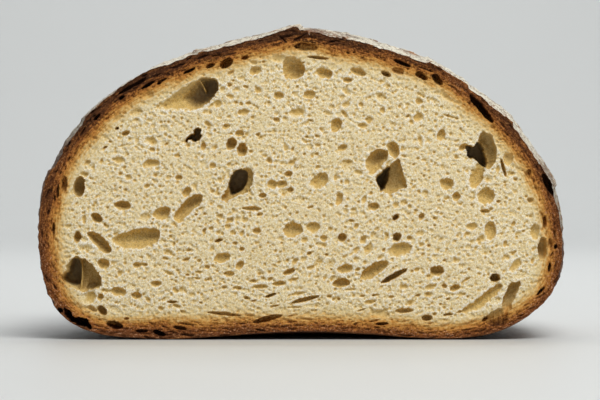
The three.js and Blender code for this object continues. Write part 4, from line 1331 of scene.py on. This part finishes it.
def crust_material():
    """The outside: brown crust, darker and bare in the slash, under a crackled coat of flour, with painted
    shade in its small pits.
    """
    graph = Graph("bread_crust")
    grainy = graph.noise(1400.0, 3.0, 0.7)
    speckle = graph.noise(330.0, 4.0, 0.65)
    patch = graph.noise(130.0, 4.0, 0.6)
    pitted = graph.ramp(graph.noise(620.0, 2.0), 0.60, 0.72)
    brown = graph.over(
        BROWN_DARK,
        (graph.ramp(graph.noise(35.0, 4.0) + (patch - 0.5) * 0.7, 0.35, 0.7), BROWN),
        (graph.ramp(patch, 0.52, 0.68) * 0.5, BROWN_LIGHT),
        (graph.ramp(speckle, 0.45, 0.75), BROWN_SPECK),
        # painted shade where the bump sinks small pits
        (pitted * 0.8, BROWN_PIT_SHADE),
        (graph.ramp(grainy, 0.55, 0.75) * 0.5, BROWN_GRAIN),
    )

    wide = graph.cells(graph.bent_place(60.0, 0.012), 240.0, "DISTANCE_TO_EDGE")
    fine = graph.cells(graph.bent_place(300.0, 0.003), 460.0, "DISTANCE_TO_EDGE")
    wide_cracks = 1 - graph.ramp(wide + (speckle - 0.5) * 0.12, 0.0, 0.07)
    fine_cracks = 1 - graph.ramp(fine + (speckle - 0.5) * 0.16, 0.0, 0.08)
    faint = 0.25 + 0.6 * graph.ramp(graph.noise(70.0, 2.0), 0.40, 0.62)
    whole = (1 - graph.ramp(patch, 0.36, 0.6) * wide_cracks) * (1 - faint * fine_cracks)
    thin = graph.noise(48.0, 3.0, 0.6)
    dusted = graph.attribute("flour") * (0.62 + 0.75 * thin) + (speckle - 0.5) + (grainy - 0.5) * 0.9
    coat = graph.ramp(dusted, 0.28, 0.85) * whole * (1 - 0.85 * graph.attribute("score"))
    height = coat * 0.5 + grainy * 0.3 + speckle * 0.6 - pitted * 0.4
    return graph.finish(
        {
            "Base Color": graph.mix(coat * 0.92, brown, graph.mix(thin, THIN_FLOUR, colours().flour)),
            "Roughness": 0.6 + 0.35 * coat,
            "Specular IOR Level": 0.3,
            "Normal": graph.bump(height, 0.0007, 0.7),
        }
    )


# ---------------------------------------------------------------- operators


SHARP_ANGLE = 62  # degrees, bends sharper than this stay crisp


class OBJECT_OT_sourdough_loaf(bpy.types.Operator):
    """Makes the cut half loaf and puts it in place of its plain solid"""

    bl_idname = "object.sourdough_loaf"
    bl_label = "Sourdough Loaf"
    bl_options = {"REGISTER", "UNDO"}

    def execute(self, context):
        shell = Shell(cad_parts[NODE])
        loaf = add_object("loaf", uncut_loaf(shell))
        block, maps = knife(shell)
        tool = add_object("knife", block)
        loaf.data.materials.append(crust_material())
        face = cut_material()
        loaf.data.materials.append(face)
        tool.data.materials.append(face)
        cut_open(loaf, tool)
        mesh = loaf.data
        describe_surface(mesh, shell, maps)
        bake_map(mesh)
        mesh.shade_smooth()
        mesh.set_sharp_from_angle(angle=math.radians(SHARP_ANGLE))
        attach(loaf, BODY)
        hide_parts(NODE)
        return {"FINISHED"}


# The stage, in metres
FLOOR_REACH = 1.6
FLOOR_HALF_WIDTH = 2.2
FLOOR_COLOUR = (0.635, 0.65, 0.65)
BACKDROP_NEAR = 0.9  # where the floor starts to curve up
BACKDROP_RADIUS = 0.5
BACKDROP_HEIGHT = 1.8
BACKDROP_STEPS = 12
# Soft lights: name, place, what they are turned to, size, power in watts and colour
LIGHTS = (
    ("key", (0.30, -0.70, 0.95), (0, CAD_BOX[0][1], 0.05), (0.75, 0.5), 11.3, (1.0, 0.985, 0.95)),
    ("back", (0.1, 0.7, 1.0), (0, 0, 0.06), (0.9, 0.6), 3.0, (1.0, 1.0, 1.0)),
    ("wall", (0.0, 0.3, 1.1), (0, 1.4, 0.2), (1.2, 0.5), 9.0, (1.0, 1.0, 0.99)),
)
AIR_COLOUR = (0.85, 0.88, 0.9, 1)
AIR_STRENGTH = 0.17


def backdrop():
    """Floor and wall in one sweep."""
    profile = [(-FLOOR_REACH, 0.0), (BACKDROP_NEAR, 0.0)]
    for step in range(1, BACKDROP_STEPS + 1):
        turn = step / BACKDROP_STEPS * math.pi / 2
        rise = BACKDROP_RADIUS * (1 - math.cos(turn))
        profile.append((BACKDROP_NEAR + BACKDROP_RADIUS * math.sin(turn), rise))
    profile.append((BACKDROP_NEAR + BACKDROP_RADIUS, BACKDROP_HEIGHT))
    sides = (-FLOOR_HALF_WIDTH, FLOOR_HALF_WIDTH)
    vertices = [(x / MM, y / MM, z / MM) for y, z in profile for x in sides]
    quads = [(2 * i, 2 * i + 1, 2 * i + 3, 2 * i + 2) for i in range(len(profile) - 1)]
    floor = add_object("floor", mesh_from_arrays("floor", vertices, quads))
    floor.data.shade_smooth()
    floor.data.materials.append(Graph("studio_floor").finish({"Base Color": FLOOR_COLOUR, "Roughness": 0.5}))


def stand(name, data, place, aim):
    """Puts a light or a camera at a place, turned to another."""
    thing = add_object(name, data)
    thing.location = place
    thing.rotation_euler = (Vector(aim) - Vector(place)).to_track_quat("-Z", "Y").to_euler()
    return thing


def soft_light(name, place, aim, size, power, colour):
    """A broad lamp that gives soft shadows."""
    data = bpy.data.lights.new(name, "AREA")
    data.shape = "RECTANGLE"
    data.size, data.size_y = size
    data.energy = power
    data.color = colour
    stand(name, data, place, aim)


def air():
    """Even light from all round."""
    world = bpy.data.worlds.new("studio_air")
    world.use_nodes = True
    background = world.node_tree.nodes["Background"]
    background.inputs["Color"].default_value = AIR_COLOUR
    background.inputs["Strength"].default_value = AIR_STRENGTH
    bpy.context.scene.world = world


# The camera, in metres
CAMERA_DISTANCE = 1.0  # in front of the cut
CAMERA_HEIGHT = 0.062
SENSOR_WIDTH = 36  # in millimetres, as Blender counts it
VIEW_WIDTH = 0.1946  # how much the camera takes in from side to side, where the cut face stands
VIEW_MIDDLE = (-0.0006, 0.0454)  # the place on the cut, across and up, that it is turned to
FAR_LIMIT = 20


def camera():
    """Looks straight at the cut face, from a little over its middle."""
    data = bpy.data.cameras.new("camera")
    data.sensor_width = SENSOR_WIDTH
    data.lens = SENSOR_WIDTH * CAMERA_DISTANCE / VIEW_WIDTH
    data.clip_end = FAR_LIMIT
    across, up = VIEW_MIDDLE
    front = CAD_BOX[0][1]
    eye = (across, front - CAMERA_DISTANCE, CAMERA_HEIGHT)
    bpy.context.scene.camera = stand("camera", data, eye, (across, front, up))


class OBJECT_OT_loaf_studio(bpy.types.Operator):
    """Makes the floor, the lights and the camera"""

    bl_idname = "object.loaf_studio"
    bl_label = "Loaf Studio"
    bl_options = {"REGISTER", "UNDO"}

    def execute(self, context):
        backdrop()
        for light in LIGHTS:
            soft_light(*light)
        air()
        context.scene.view_settings.view_transform = "Standard"
        camera()
        return {"FINISHED"}


class VIEW3D_PT_loaf(bpy.types.Panel):
    """Lists the pieces that this file makes"""

    bl_idname = "VIEW3D_PT_loaf"
    bl_label = "Sourdough Loaf"
    bl_space_type = "VIEW_3D"
    bl_region_type = "UI"
    bl_category = "Loaf"

    def draw(self, context):
        layout = self.layout
        for group in (context.scene.loaf_sizes, context.scene.loaf_colours):
            for name in group.__annotations__:
                layout.prop(group, name)
        for operator in OPERATORS:
            layout.operator(operator.bl_idname)


OPERATORS = (OBJECT_OT_sourdough_loaf, OBJECT_OT_loaf_studio)
CLASSES = (LoafSizes, LoafColours, *OPERATORS, VIEW3D_PT_loaf)


def register():
    for item in CLASSES:
        bpy.utils.register_class(item)
    bpy.types.Scene.loaf_sizes = bpy.props.PointerProperty(type=LoafSizes)
    bpy.types.Scene.loaf_colours = bpy.props.PointerProperty(type=LoafColours)


def unregister():
    del bpy.types.Scene.loaf_colours
    del bpy.types.Scene.loaf_sizes
    for item in reversed(CLASSES):
        bpy.utils.unregister_class(item)


def main():
    """Makes the loaf and its stage."""
    register()
    bpy.ops.object.sourdough_loaf()
    bpy.ops.object.loaf_studio()


if __name__ == "__main__":
    main()
